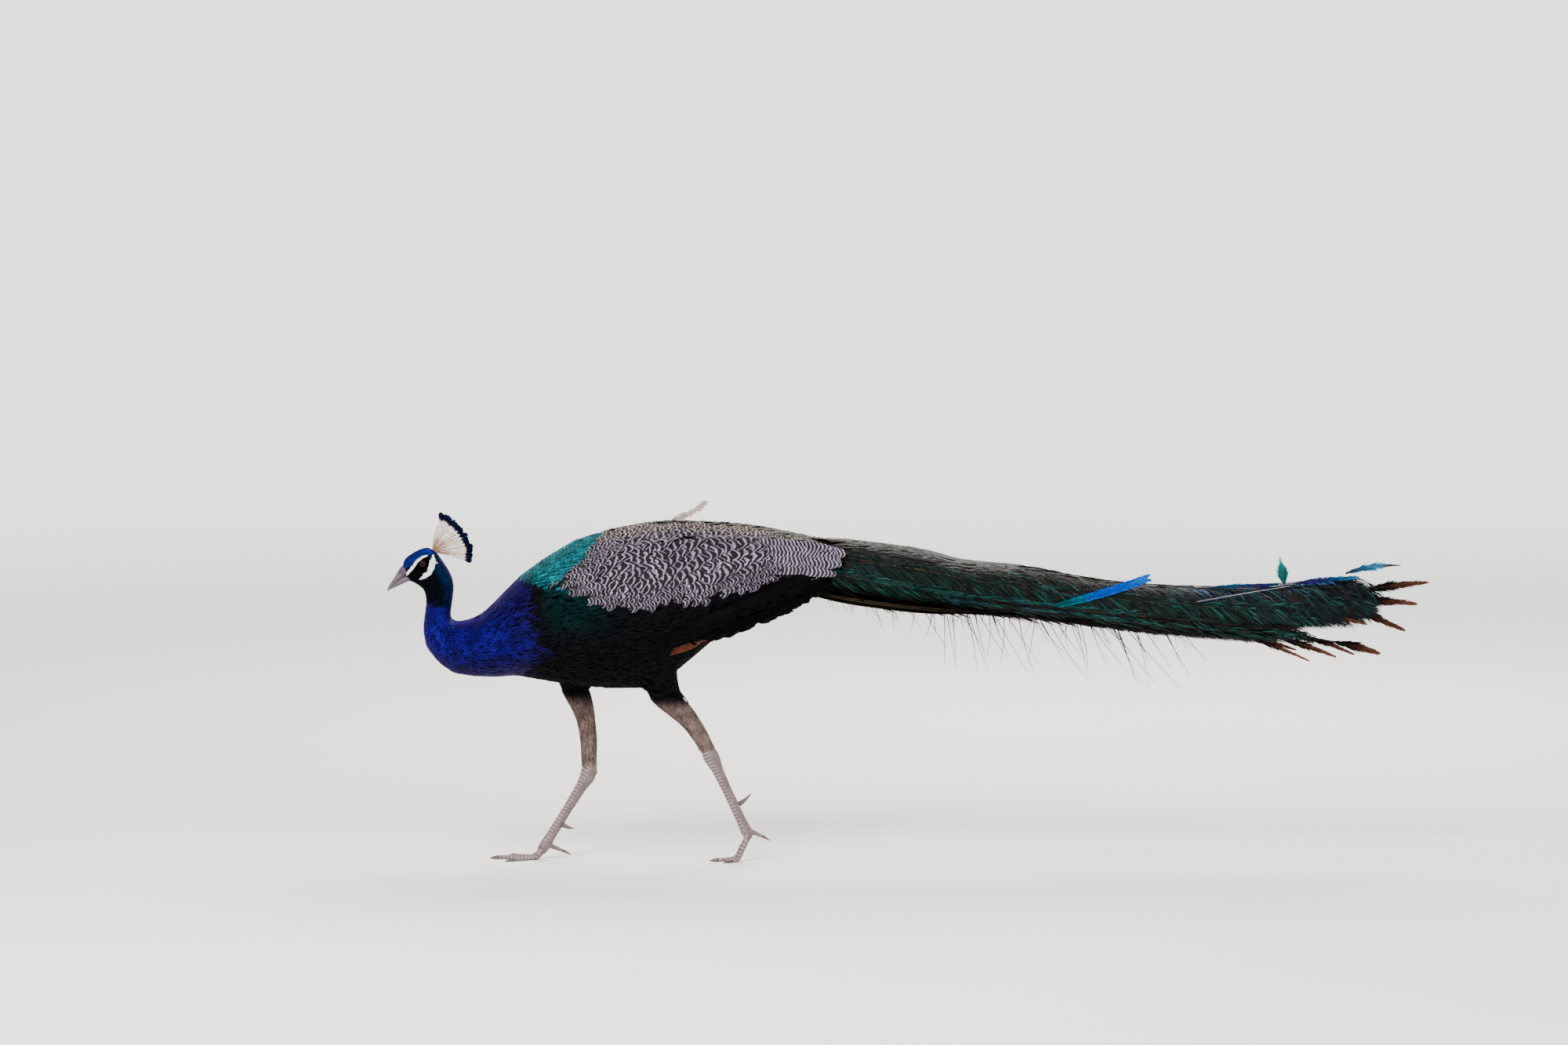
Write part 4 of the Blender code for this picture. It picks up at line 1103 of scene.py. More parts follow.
# %% Crest shafts and paddles
CREST_COUNT, CREST_ROOT, CREST_REACH = 25, np.array((-0.7243, 0.0, 0.4765)), 0.0475
FUZZ_EACH = 36
crest_share = np.linspace(0, 1, CREST_COUNT) + chance.uniform(-0.012, 0.012, CREST_COUNT)
crest_turn = np.radians(76 - 89 * crest_share)
crest_way = np.stack([np.cos(crest_turn), 0 * crest_turn, np.sin(crest_turn)], 1)
crest_side = np.stack([-np.sin(crest_turn), 0 * crest_turn, np.cos(crest_turn)], 1)
crest_reach = (CREST_REACH * (1 - 0.035 * np.sin(math.pi * crest_share))
               * chance.uniform(0.965, 1.03, CREST_COUNT))
crest_lean = chance.uniform(-0.0030, 0.0030, CREST_COUNT)
crest_bend = chance.normal(0.0009, 0.0007, CREST_COUNT)


def crest_path(start, stop, steps):
    """Points along every shaft between two shares of its length."""
    t = np.linspace(start, stop, steps)[None, :, None]
    root = CREST_ROOT + crest_way[:, None] * 0.001 + np.stack(
        [0.004 * (crest_share - 0.5), 0 * crest_share, -0.003 * (crest_share - 0.5)], 1)[:, None]
    lean = crest_lean[:, None, None] * np.array((0, 1, 0)) * t ** 1.5
    bend = crest_bend[:, None, None] * crest_side[:, None] * np.sin(math.pi * np.minimum(t, 1))
    return root + crest_way[:, None] * crest_reach[:, None, None] * t + lean + bend


def strips(name, path, half, finish, colours, outline=0.45, side=(0.0, 1.0, 0.0), roll=True,
           across=4, **shape):
    """Thin shafts or barbs along given paths; rolled ones are closed round like a straw. outline
    holds their thickness from root to tip, or only the tip's share of the root's."""
    if np.isscalar(outline):
        outline = np.linspace(1, outline, path.shape[1])
    ahead = unit(np.gradient(path, axis=1))
    side = unit(side - ahead * (side * ahead).sum(-1, keepdims=True))
    vanes(name, path, side, half, outline, finish, colours, across=across, roll=roll, **shape)


straw = plumage("crest_straw", 0.0, 0.6, patchy=0.2, edge=0.0)
strips("crest_shafts", crest_path(0, 1.04, 7), 0.00050, straw, (0.42, 0.27, 0.19),
       [1.2, 1, 0.9, 0.8, 0.8, 0.7, 0.6])
owner = np.repeat(np.arange(CREST_COUNT), FUZZ_EACH)
fuzz_station = (chance.uniform(0.25, 0.95, len(owner)) * 20).astype(int)
fuzz_root = crest_path(0, 1.04, 21)[owner, fuzz_station]
hand = np.where(chance.random(len(owner)) < 0.5, 1.0, -1.0)[:, None]
fuzz_way = unit(crest_way[owner] + hand * crest_side[owner] * 0.42
                + chance.normal(0, 0.12, (len(owner), 3)))
fuzz_way = fuzz_way[:, None] * chance.uniform(0.003, 0.006, (len(owner), 1, 1))
strips("crest_fuzz", fuzz_root[:, None] + fuzz_way * np.linspace(0, 1, 3)[None, :, None], 0.00016,
       straw, (0.46, 0.27, 0.19), side=crest_side[owner][:, None], across=3)
paddle_tint = np.where(chance.random((CREST_COUNT, 1)) < 0.6, (0.004, 0.008, 0.028),
                       (0.008, 0.038, 0.120))
turned_side = unit(crest_side * 0.5 + np.array((0, 0.9, 0)))
for label, half, side, rag in (("crest_paddles", 0.0034, crest_side, 0.55),
                               ("crest_paddle_backs", 0.0026, turned_side, 0.5)):
    strips(label, crest_path(0.97, 1.235, 7), half, silk, paddle_tint,
           [0.15, 0.45, 0.75, 0.95, 1.05, 1.0, 0.62], side[:, None], roll=False, across=6,
           dome=0.1, rag=rag, lag=0.15)

# %% [markdown]
# ## Shanks, feet and claws
# Below the hock the leg is bare: horny scales ring the front of the shank and the tops of the
# toes. The solids are welded into one leg as the body was, and each point keeps its distance down
# the leg, so that the finish can draw one scale after another.

# %% Weld the legs
LEG_NODES = [f"{part}_{side}" for side in SIDES for part in ("tarsus", "foot", "toe_hind")]
BETWEEN_LEGS = -0.40        # the rear leg is the left one; the front leg is the right one
for side in SIDES:          # a knob at each hock closes the joint inside the shin
    shin = points_of(nodes[f"shank_{side}"].data)
    way = unit(shin[shin[:, 2] < 0.20].mean(0) - shin[shin[:, 2] < 0.24].mean(0))
    from_end = (shin @ way).max() - shin @ way
    low = shin[from_end < 0.004].mean(0)
    high = shin[(from_end > 0.012) & (from_end < 0.040)].mean(0)
    knob = bmesh.new()
    turned = Vector(high - low).to_track_quat("Z", "Y").to_matrix().to_4x4()
    bmesh.ops.create_cone(knob, segments=20, radius1=0.0112, radius2=0.0098, depth=0.028,
                          cap_ends=True, matrix=Matrix.Translation(low) @ turned)
    piece(f"hock_{side}", knob)
legs = piece("legs", welded("legs", LEG_NODES + ["hock_left", "hock_right"], 0.0011, 4))
leg_points = points_of(legs.data)
scute = np.stack([leg_points[:, 2]] * 3, 1)         # down the leg, in front of it, height
for side in SIDES:
    bpy.data.objects.remove(bpy.data.objects[f"hock_{side}"])
    bone = points_of(nodes[f"tarsus_{side}"].data)
    middle = bone.mean(0)
    axis = np.linalg.svd(bone - middle, full_matrices=False)[2][0]
    axis *= -np.sign(axis[2])
    along_bone = (bone - middle) @ axis
    ball, hock = middle + axis * along_bone.max(), middle + axis * along_bone.min()
    mine = (leg_points[:, 0] > BETWEEN_LEGS) == (side == "left")
    down_leg = (leg_points - hock) @ axis
    length = np.linalg.norm(ball - hock)
    toe = smooth(down_leg, length - 0.020, length - 0.006)
    past_ball = length + np.linalg.norm(leg_points - ball, axis=1)
    scute[mine, 0] = (down_leg * (1 - toe) + past_ball * toe)[mine]
    front = np.cross(axis, (0, 1, 0))
    front *= -np.sign(front[0])
    scute[mine, 1] = ((leg_points - hock) @ front)[mine] / 0.006
store(legs.data, "scute", scute)
leg_skin = Finish("leg_scales", Roughness=0.55)
down_leg, front, _ = leg_skin.split(leg_skin.own("scute", "Vector"))
ring = down_leg / 0.0056 + leg_skin.noise(90) * 0.35
groove = 1 - abs(ring.fract() - 0.5).step(0.30, 0.47)
pebble = leg_skin.node("ShaderNodeTexVoronoi", {"feature": "DISTANCE_TO_EDGE"},
                       {"Vector": leg_skin.place(), "Scale": 520}).step(0.0, 0.16)
relief = leg_skin.node("ShaderNodeMix", {"data_type": "FLOAT"},
                       {0: front.step(-0.25, 0.25), 2: pebble, 3: groove})
tone = leg_skin.mottled((0.165, 0.128, 0.126), (0.285, 0.230, 0.218), 70, 3)
leg_skin.feed("Base Color", leg_skin.mix(relief, (0.078, 0.058, 0.056), tone))
leg_skin.bump(relief + leg_skin.noise(700) * 0.3, 0.0006, 0.8)
legs.data.materials.append(leg_skin.material)

# %% Smooth claws and spurs
claw_horn = Finish("claw_horn", Roughness=0.35)
claw_horn.feed("Base Color", claw_horn.mottled((0.045, 0.035, 0.035), (0.16, 0.125, 0.11), 300, 3))
claw_horn.bump(claw_horn.noise(600, stretch=(1, 5, 5)), 0.0001, 0.5)
CLAWS = [name for name in nodes if name.startswith(("claw", "spur"))]
claws_bm = merged(CLAWS)
for name in CLAWS:                       # the base of each goes a little deeper into its toe
    own = points_of(nodes[name].data)
    tip = own[np.linalg.norm(own - own.mean(0), axis=1).argmax()]
    mine = [v for v in claws_bm.verts if np.abs(own - np.array(v.co)).sum(1).min() < 1e-5]
    bmesh.ops.scale(claws_bm, vec=(1.28, 1.28, 1.28), verts=mine,
                    space=Matrix.Translation(-Vector(tip)))
claws = applied(piece("claws", claws_bm, claw_horn), "SUBSURF", levels=2, render_levels=2)
claws.data.shade_smooth()
pieces += [legs, claws]
print("claws and spurs", len(CLAWS), "legs", len(leg_points), "points")

# %% Short down on the shins
# Side views of each shin's middle line, from the hock up: heights, and distances back.
SHIN_LINES = {-1: ([0.170, 0.198, 0.249, 0.312], [-0.3045, -0.316, -0.356, -0.386]),
              1: ([0.140, 0.180, 0.244, 0.306], [-0.4875, -0.488, -0.501, -0.515])}
shin_roots = scattered(lambda p: p[:, 2] < 0.285, lambda at: 0.0021)
shin_roots = shin_roots[shin_roots[:, 2] < SHIN_LINE]
shin_way = np.zeros((len(shin_roots), 3)) - (0, 0, 1)
for side, (height, back) in SHIN_LINES.items():
    mine = np.sign(shin_roots[:, 1]) == side
    shin_way[mine, 0] = np.interp(shin_roots[mine, 2], height, -np.gradient(back, height))
grow("shin_down", shin_roots, 0.010, 0.0012, 0.0021, down, way=unit(shin_way), stray=0.07, rag=0.4,
     over_what=cover(skin.data, legs.data))

# %% [markdown]
# ## The train
# The train is some two hundred long feathers lying along one another. Each is a thin shaft that
# carries loose barbs, and the barbs sweep back and down. A dark core fills the inside, and feathers
# that lie deeper fill its open rear end. The solid train gives the form: rays from its middle line
# measure how far out its surface lies.

# %% Measure the train's form
TRAIN = ["train_root", "train_middle", "train_rear", "train_end"]
train_cover = BVHTree.FromBMesh(merged(TRAIN))
FORM_X, FORM_TURN = np.linspace(-0.125, 0.735, 87), np.linspace(0, math.pi, 25)
OUTSIDE, THINNEST = 0.3, 0.012
behind = line[:, 0] > -0.2
middle_z = np.interp(FORM_X, line[behind, 0], line[behind, 2])
form = np.full((2, len(FORM_X), len(FORM_TURN)), THINNEST)
for s, side in enumerate((-1, 1)):
    for i, x in enumerate(FORM_X):
        for j, turn in enumerate(FORM_TURN):
            ray = Vector((0, side * math.sin(turn), math.cos(turn)))
            start = Vector((x, 0, middle_z[i])) + ray * OUTSIDE
            place, _, _, far = train_cover.ray_cast(start, -ray)
            if place:
                form[s, i, j] = OUTSIDE - far
for i in range(1, len(FORM_X) - 1):     # a ray that slips through a parting copies its neighbours
    form[:, i] = np.maximum(form[:, i], np.minimum(form[:, i - 1], form[:, i + 1]))
print("train reaches", form.max((0, 2)).round(3)[::12])


def in_train(x, turn, side, share):
    """Points of the train from distance back, turn round from the top, and share of the way out."""
    i = np.clip((x - FORM_X[0]) / (FORM_X[1] - FORM_X[0]), 0, len(FORM_X) - 1.001)
    j = np.clip(turn / FORM_TURN[1], 0, len(FORM_TURN) - 1.001)
    fi, fj, i, j = i % 1, j % 1, i.astype(int), j.astype(int)
    s = (side > 0).astype(int)
    reach = ((form[s, i, j] * (1 - fj) + form[s, i, j + 1] * fj) * (1 - fi)
             + (form[s, i + 1, j] * (1 - fj) + form[s, i + 1, j + 1] * fj) * fi) * share
    z = np.interp(x, FORM_X, middle_z)
    return np.stack([x, side * reach * np.sin(turn), z + reach * np.cos(turn)], -1)


def tangent(x, turn, side):
    """The way round the train's surface at each point, from its top down its side."""
    return unit(in_train(x, turn + 0.12, side, 1.0) - in_train(x, turn - 0.12, side, 1.0))


# %% The dark core
core = piece("train_core", welded("core", TRAIN, 0.006, 4))
core_points = points_of(core.data)
x = core_points[:, 0]
thinner = (0.16 + 0.66 * smooth(x, 0.36, 0.66))[:, None]
core_points -= thinner * (core_points - np.c_[x, 0 * x, np.interp(x, FORM_X, middle_z)])
core_points[:, 0] -= 0.62 * np.maximum(core_points[:, 0] - 0.48, 0)
move_points(core.data, core_points)
core_finish = Finish("train_core", Roughness=0.8, Specular_IOR_Level=0.1)
streaks = core_finish.noise(130, 3, stretch=(0.15, 1, 1))
core_finish.feed("Base Color",
                 core_finish.mix(streaks, (0.006, 0.005, 0.005), (0.020, 0.018, 0.014)))
core.data.materials.append(core_finish.material)
pieces.append(core)

# %% The colours of the train
# Rows: where the colour is strongest (distance back, turn), how far it spreads, its weight, colour.
TRAIN_COLOURS = [((0.00, 2.6), (0.60, 0.75), 1.6, (0.018, 0.011, 0.008)),   # black-brown underside
                 ((0.60, 1.6), (0.30, 1.20), 0.8, (0.020, 0.014, 0.011)),
                 ((0.62, 1.1), (0.28, 0.90), 0.8, (0.013, 0.024, 0.030)),   # slate rear
                 ((-0.05, 0.5), (0.16, 0.45), 1.0, (0.016, 0.011, 0.008)),     # bronze upper front
                 ((0.10, 1.2), (0.50, 0.70), 1.0, (0.012, 0.026, 0.020)),   # blackish green
                 ((0.05, 0.9), (0.35, 0.40), 1.0, (0.015, 0.012, 0.010)),   # brown-black upper side
                 ((0.02, 1.75), (0.30, 0.36), 0.75, (0.006, 0.075, 0.060)),    # green
                 ((0.03, 1.70), (0.16, 0.28), 0.60, (0.006, 0.052, 0.100)),    # blue-green middle
                 ((0.25, 1.7), (0.12, 0.30), 0.40, (0.008, 0.095, 0.090)),
                 ((0.25, 0.5), (0.22, 0.35), 0.45, (0.018, 0.050, 0.062)),    # grey-blue upper edge
                 ((0.45, 1.9), (0.25, 0.60), 0.40, (0.008, 0.080, 0.062)),
                 # The next row is a painted sheen: a grey-blue highlight along the train's upper
                 # edge.
                 ((0.54, 1.4), (0.12, 0.60), 0.45, (0.008, 0.075, 0.080)),
                 ((0.55, 0.15), (0.10, 0.25), 0.9, (0.020, 0.100, 0.25)),   # bright rear upper edge
                 ((0.56, 0.20), (0.05, 0.20), 0.3, (0.060, 0.035, 0.25)),
                 ((0.20, 0.8), (0.60, 0.50), 0.35, (0.034, 0.020, 0.014))]     # warm brown streaks
FADED = 0.28


def train_colours(x, turn, luck):
    """Picks one of the train's colours for each barb by where it grows."""
    weights = np.stack([weight * np.exp(-((x - at) / wide) ** 2 - ((turn - round_at) / deep) ** 2)
                        for (at, round_at), (wide, deep), weight, _ in TRAIN_COLOURS], 1)
    pick = (np.cumsum(weights, 1) < (luck * weights.sum(1))[:, None]).sum(1)
    colours = np.array([row[3] for row in TRAIN_COLOURS])[np.minimum(pick, len(TRAIN_COLOURS) - 1)]
    colours = (1 - FADED) * colours + FADED * colours.mean(1, keepdims=True)
    return colours * chance.uniform(0.65, 1.70, (len(x), 1))


# %% Shafts of the train
def alternate(count):
    """The bird's right and left side in turn, as 1 and -1."""
    return np.where(np.arange(count) % 2, 1.0, -1.0)


SHAFTS, DEEP = int(190 * DRAFT), int(130 * DRAFT)
shaft = {"side": alternate(SHAFTS),
         "turn": np.arccos(1 - 2 * ((np.arange(SHAFTS) * 0.618) % 1)) * 0.9 + 0.12,
         "start": chance.uniform(-0.16, 0.10, SHAFTS), "luck": chance.random(SHAFTS),
         "share": chance.uniform(0.86, 0.97, SHAFTS)}
farthest = 0.705 - 0.130 * smooth(shaft["turn"], 1.1, 1.8) + chance.normal(0, 0.030, SHAFTS)
shaft["stop"] = np.minimum(shaft["start"] + chance.uniform(0.25, 0.80, SHAFTS),
                           np.minimum(farthest, 0.73))
shaft["drift"] = chance.normal(0.10, 0.14, SHAFTS)
deep = {"side": alternate(DEEP), "turn": chance.uniform(0.1, 2.7, DEEP),
        "start": chance.uniform(0.40, 0.54, DEEP), "luck": chance.random(DEEP),
        "share": 0.88 * chance.uniform(0.01, 1, DEEP) ** 0.6, "drift": chance.normal(0, 0.1, DEEP)}
deep["stop"] = (0.71 - 0.14 * smooth(-deep["share"] * np.cos(deep["turn"]), -0.2, 0.5)
                - chance.uniform(0, 0.05, DEEP))
shaft = {key: np.concatenate([shaft[key], deep[key]]) for key in shaft}


def along_shaft(which, t):
    """Distance back and turn at shares t of the length of chosen shafts."""
    start, stop, turn, drift = (shaft[key][which, None]
                                for key in ("start", "stop", "turn", "drift"))
    return start + (stop - start) * t, np.clip(turn + drift * (t - 0.5), 0.02, 3.12)


which = np.arange(SHAFTS + DEEP)
quills = plumage("train_quills", 0.0, 0.5, patchy=0.2, edge=0.0)
gloss = plumage("train_barbs", 0.35, 0.45, patchy=0.25, edge=0.0, glint=0.25)
path = in_train(*along_shaft(which, np.linspace(0, 1, 15)[None]), shaft["side"][:, None],
                shaft["share"][:, None] + 0.01)
tint = np.array((0.075, 0.050, 0.034)) * chance.uniform(0.5, 1.6, (len(which), 1))
strips("train_shafts", path, 0.0007, quills, tint, 0.3)

# %% Loose barbs of the train
# Each leaves its shaft at an angle, lies back over the train, and droops towards its end.
BARB_GAP, BARB_LENGTH, BARB_HALF = 0.0034, 0.047, 0.00085
DROOP, HANG = 0.35, 0.05
barb_count = ((shaft["stop"] - shaft["start"]) / BARB_GAP * 2).astype(int)
owner = np.repeat(which, np.maximum(barb_count, 2))
t = chance.random(len(owner))
hand = np.where(chance.random(len(owner)) < 0.55, 1.0, -1.0)[:, None]
x, turn = along_shaft(owner, t[:, None])
side, share = shaft["side"][owner, None], shaft["share"][owner, None]
luck = (0.75 * shaft["luck"][owner] + 0.25 * chance.random(len(owner))) % 1
ends = smooth(t, 1.0, 0.86) * 0.6 + 0.4
length = (BARB_LENGTH * chance.uniform(0.7, 1.25, len(owner)) * ends)[:, None]
sweep = chance.normal(0.50, 0.10, len(owner))[:, None]
colours = train_colours(x[:, 0], turn[:, 0], luck)
s = np.linspace(0, 1, 5)[None]
reach = np.linalg.norm(in_train(x, turn, side, share) - in_train(x, 0 * x, side, 0 * x), axis=2)
swing = length * np.sin(sweep * (1 - 0.35 * s)) * s * hand
back = x + length * np.cos(sweep) * s
round_it = turn + (swing + length * DROOP * s ** 2) / np.maximum(reach, 0.028)
free = HANG * smooth(turn, 1.9, 2.7) * s ** 2
lifted = share + 0.05 * s * (1 - s) * 4 * chance.uniform(0, 1, (len(x), 1)) + free
path = in_train(back, np.clip(round_it, -0.3, math.pi), side, lifted)
path[..., 2] -= 0.008 * free / HANG
ahead = unit(np.gradient(path, axis=1))
out = unit(np.cross(tangent(back, np.clip(round_it, 0, 3.0), side), ahead) * side[..., None])
across = unit(unit(np.cross(ahead, out)) + out * chance.normal(0, 0.35, (len(x), 1, 1)))
at = np.interp(x[:, 0], line[behind, 0], line_at[behind])
vanes("train_barbs", path, across, BARB_HALF, [0.7, 1, 0.9, 0.65, 0.15], gloss, colours,
      spots=unwrap(at, turn[:, 0], side[:, 0]), across=1, lag=0)

# %% [markdown]
# ## Feathers that stand alone
# Some feathers are seen one by one: the tail under the train, the tips that fork out behind, one
# bright blue plume on the near side and a loose down feather on the back. Each has a shaft, and
# barbs that leave it on both sides.


# %% A single plume
def shaded(t, stops):
    """Colours that change along a feather: stops are pairs of share and colour."""
    return sampled(t, [place for place, _ in stops], np.array([colour for _, colour in stops]))


def plume(name, path, side, half, stops, finish, outline, gap=0.0011, sweep=0.55, width=0.0008,
          loose=0.12, shaft_half=0.0006, shaft_tint=(0.20, 0.15, 0.12), web=0.0):
    """A feather drawn barb by barb along a path. outline holds its half width from root to tip."""
    ahead = unit(np.gradient(path, axis=0))
    side = unit(side - ahead * (side * ahead).sum(1, keepdims=True))
    grid, places = np.linspace(0, 1, len(path)), np.linspace(0, 1, len(outline))
    count = max(4, int(2 * travel(path)[-1] / gap * DRAFT))
    t = np.linspace(0.0, 0.985, count) + chance.uniform(-0.4, 0.4, count) / count
    t = np.clip(t, 0, 1)
    hand = alternate(count)
    root, way, aside, over_it = (sampled(t, grid, v)[:, None]
                                 for v in (path, ahead, side, np.cross(side, ahead)))
    turn = sweep * chance.normal(1, loose, count)
    reach = half * np.interp(t, places, outline) / np.sin(sweep)
    far = (reach * chance.uniform(1 - 2.5 * loose, 1.0, count))[:, None, None]
    s = np.linspace(0, 1, 5)[None, :, None]
    points = root + way * far * s * np.cos(turn)[:, None, None]
    points = points + aside * (hand * np.sin(turn))[:, None, None] * far * s * (1 - 0.15 * s)
    points = points + over_it * far * s * chance.normal(0, 0.10, (count, 1, 1))
    flat = unit(np.cross(np.gradient(points, axis=1), np.broadcast_to(over_it, points.shape)))
    flat = unit(flat + over_it * chance.normal(0, 0.25, (count, 1, 1)))
    spot = unwrap(*locate(path[:1])[:2], path[:1, 1])
    vanes(name, points, flat, width, [0.8, 1, 1, 0.8, 0.25], finish,
          shaded(t, stops) * chance.uniform(0.75, 1.25, (count, 1)),
          spots=np.tile(spot, (count, 1)), across=1, lag=0)
    if web:                              # a closed vane under the barbs
        vanes(name + "_web", path[None], side[None], half * web, np.interp(grid, places, outline),
              finish, shaded(grid, stops)[None, :, None] * 0.8, spots=spot, across=4, lag=0.8)
    strips(name + "_shaft", path[None], shaft_half, quills, shaft_tint, 0.35, side[None])


def bowed(start, stop, bow=(0, 0, 0), steps=13):
    """A path between two points, bowed sideways in the middle."""
    t = np.linspace(0, 1, steps)[:, None]
    return np.array(start) * (1 - t) + np.array(stop) * t + np.array(bow) * 4 * t * (1 - t)


def ends_of(name):
    """The two far ends of a long thin solid, the front one first."""
    points = points_of(nodes[name].data)
    axis = np.linalg.svd(points - points.mean(0), full_matrices=False)[2][0]
    along = points @ (axis * np.sign(axis[0]))
    return points[along < along.min() + 0.004].mean(0), points[along > along.max() - 0.004].mean(0)


# %% The bright blue plume
near, far = ends_of("plume_blue")
gleam = plumage("blue_plume", 0.5, 0.34, patchy=0.15, edge=0.0, sheen=0.3,
                sheen_tint=(0.3, 0.6, 1.0))
plume("blue_plume", bowed(near, far, (0, -0.004, -0.002), 25), (0.28, 0.20, -0.94), 0.0074,
      [(0, (0.006, 0.10, 0.10)), (0.25, (0.006, 0.13, 0.21)), (0.40, (0.008, 0.075, 0.36)),
       (0.75, (0.011, 0.080, 0.42)), (1, (0.035, 0.17, 0.52))], gleam,
      [0.45, 0.75, 0.90, 0.95, 1.0, 1.0, 1.0, 1.0, 0.9], gap=0.00036, width=0.0013, sweep=0.62,
      loose=0.04, web=0.9, shaft_half=0.0004, shaft_tint=(0.03, 0.05, 0.20))

# %% Tips that fork out behind the train
RUFOUS = [(0, (0.010, 0.008, 0.008)), (0.42, (0.014, 0.009, 0.008)), (0.60, (0.090, 0.036, 0.026)),
          (1, (0.20, 0.085, 0.060))]
FORK, FORK_SIDE = [0.03, 0.06, 0.12, 0.90, 1.0, 0.72, 0.62, 0.50, 0.36, 0.15], (0.1, 0.5, -0.8)
for label, lead in (("fork_high", 0.075), ("middle", 0.080), ("fork_low", 0.090), ("under", 0.060)):
    near, far = ends_of(f"plume_{label}")
    near = near - (unit(far - near) - np.array((0, 0.0, 0.10))) * lead
    plume(f"tip_{label}", bowed(near, far, (0, 0, 0.002)), FORK_SIDE, 0.0095, RUFOUS, dusk,
          FORK, gap=0.0007, width=0.0009, sweep=0.33)
near, far = ends_of("plume_top")
plume("tip_top", bowed(near - np.array((0.03, 0, 0.004)), far, (0, 0, 0.004)), (0.1, 0.6, -0.8),
      0.0085, [(0, (0.02, 0.05, 0.09)), (0.35, (0.05, 0.28, 0.55)), (0.55, (0.09, 0.34, 0.60)),
               (0.75, (0.06, 0.06, 0.07)), (1, (0.06, 0.04, 0.035))], gleam,
      [0.3, 0.7, 1.0, 1.0, 0.7, 0.35, 0.2, 0.1], gap=0.0007, sweep=0.5)
for k, (start, stop, half) in enumerate([((0.500, -0.030, 0.352), (0.613, -0.034, 0.312), 0.0055),
                                         ((0.540, -0.020, 0.352), (0.655, -0.026, 0.317), 0.0080),
                                         ((0.590, 0.004, 0.350), (0.685, -0.006, 0.319), 0.0065),
                                         ((0.470, 0.030, 0.352), (0.600, 0.036, 0.322), 0.0070),
                                         ((0.560, 0.034, 0.350), (0.668, 0.030, 0.326), 0.0070),
                                         ((0.60, -0.030, 0.385), (0.700, -0.038, 0.368), 0.0065),
                                         ((0.62, 0.028, 0.380), (0.722, 0.034, 0.372), 0.0070)]):
    plume(f"tip_low_{k + 1}", bowed(start, stop, (0, 0, 0.003)), FORK_SIDE, half, RUFOUS, dusk,
          FORK, gap=0.0009, width=0.0009, sweep=0.33)

# %% Bright tips along the upper edge, a twisted one that stands up, and a pale shaft
CYAN = [(0, (0.01, 0.10, 0.20)), (0.5, (0.03, 0.24, 0.52)), (1, (0.08, 0.40, 0.70))]
LILAC = [(0, (0.04, 0.035, 0.20)), (0.5, (0.07, 0.04, 0.30)), (1, (0.02, 0.14, 0.34))]
TEALS = [(0, (0.012, 0.13, 0.13)), (0.65, (0.02, 0.20, 0.20)), (1, (0.20, 0.50, 0.75))]
LEAF, TWIST = [0.3, 0.9, 1.0, 0.8, 0.3], [1.0, 0.80, 0.45, 0.22, 0.10]
FACING = (0.6, 0.5, -0.5)
for k, (start, stop, half, stops, shape, side) in enumerate([
        ((0.462, -0.022, 0.4225), (0.530, -0.026, 0.4275), 0.0050, CYAN, LEAF, FACING),
        ((0.505, -0.026, 0.4240), (0.567, -0.026, 0.4285), 0.0050, LILAC, LEAF, FACING),
        ((0.590, -0.024, 0.4290), (0.655, -0.022, 0.4370), 0.0065, LILAC, LEAF, FACING),
        ((0.610, -0.018, 0.4310), (0.690, -0.012, 0.4380), 0.0060, CYAN, LEAF, FACING),
        ((0.577, -0.022, 0.4270), (0.569, -0.026, 0.4690), 0.0110, TEALS, TWIST, (1, 0.1, 0))]):
    plume(f"bright_tip_{k + 1}", bowed(start, stop), side, half, stops, gleam, shape, gap=0.0008,
          sweep=0.45)
pale = bowed((0.440, -0.060, 0.4040), (0.582, -0.038, 0.4260), (0, -0.004, 0.001), 15)
strips("pale_shaft", pale[None], 0.0010, quills, (0.27, 0.25, 0.34), 0.5)

# %% The loose feather on the back
near, far = ends_of("back_feather")
plume("loose_feather", bowed(near - np.array((0.008, 0, 0.005)), far, (0.003, 0, -0.003), 17),
      (-0.45, 0.25, 0.85), 0.0068,
      [(0, (0.55, 0.45, 0.43)), (0.6, (0.66, 0.54, 0.50)), (1, (0.42, 0.32, 0.28))], down,
      [0.9, 1.0, 0.9, 0.85, 0.9, 0.8, 0.35], gap=0.0006, sweep=0.5, loose=0.28,
      shaft_half=0.0005, shaft_tint=(0.6, 0.5, 0.45))

# %% The tail under the train
TAIL_X, TAIL_Z = [-0.150, -0.080, 0.000, 0.110, 0.235], [0.4200, 0.4075, 0.3975, 0.3885, 0.3790]
TAIL_HALF, QUILLS = [0.030, 0.046, 0.050, 0.054, 0.056], 18
fan = (np.arange(QUILLS) - 8.5) / 8.5
x = np.linspace(-0.150, 0.225 - 0.15 * abs(fan) ** 1.5, 12, axis=1)
z = np.interp(x, TAIL_X, TAIL_Z) - (0.005 * fan ** 2 - 0.0012 * (np.arange(QUILLS) % 2))[:, None]
tail = np.stack([x, fan[:, None] * np.interp(x, TAIL_X, TAIL_HALF), z], -1)
tail_side = unit(np.stack([0 * fan, 1 + 0 * fan, -0.35 * fan], 1))[:, None] + 0 * tail
fade = smooth(tail[..., 0], -0.06, 0.02)[..., None, None]
tail_tint = np.array((0.030, 0.023, 0.013)) * (1 - fade) + np.array((0.012, 0.009, 0.008)) * fade
tail_vane = plumage("tail_vanes", 0.0, 0.6, edge=0.25, glint=0.3)
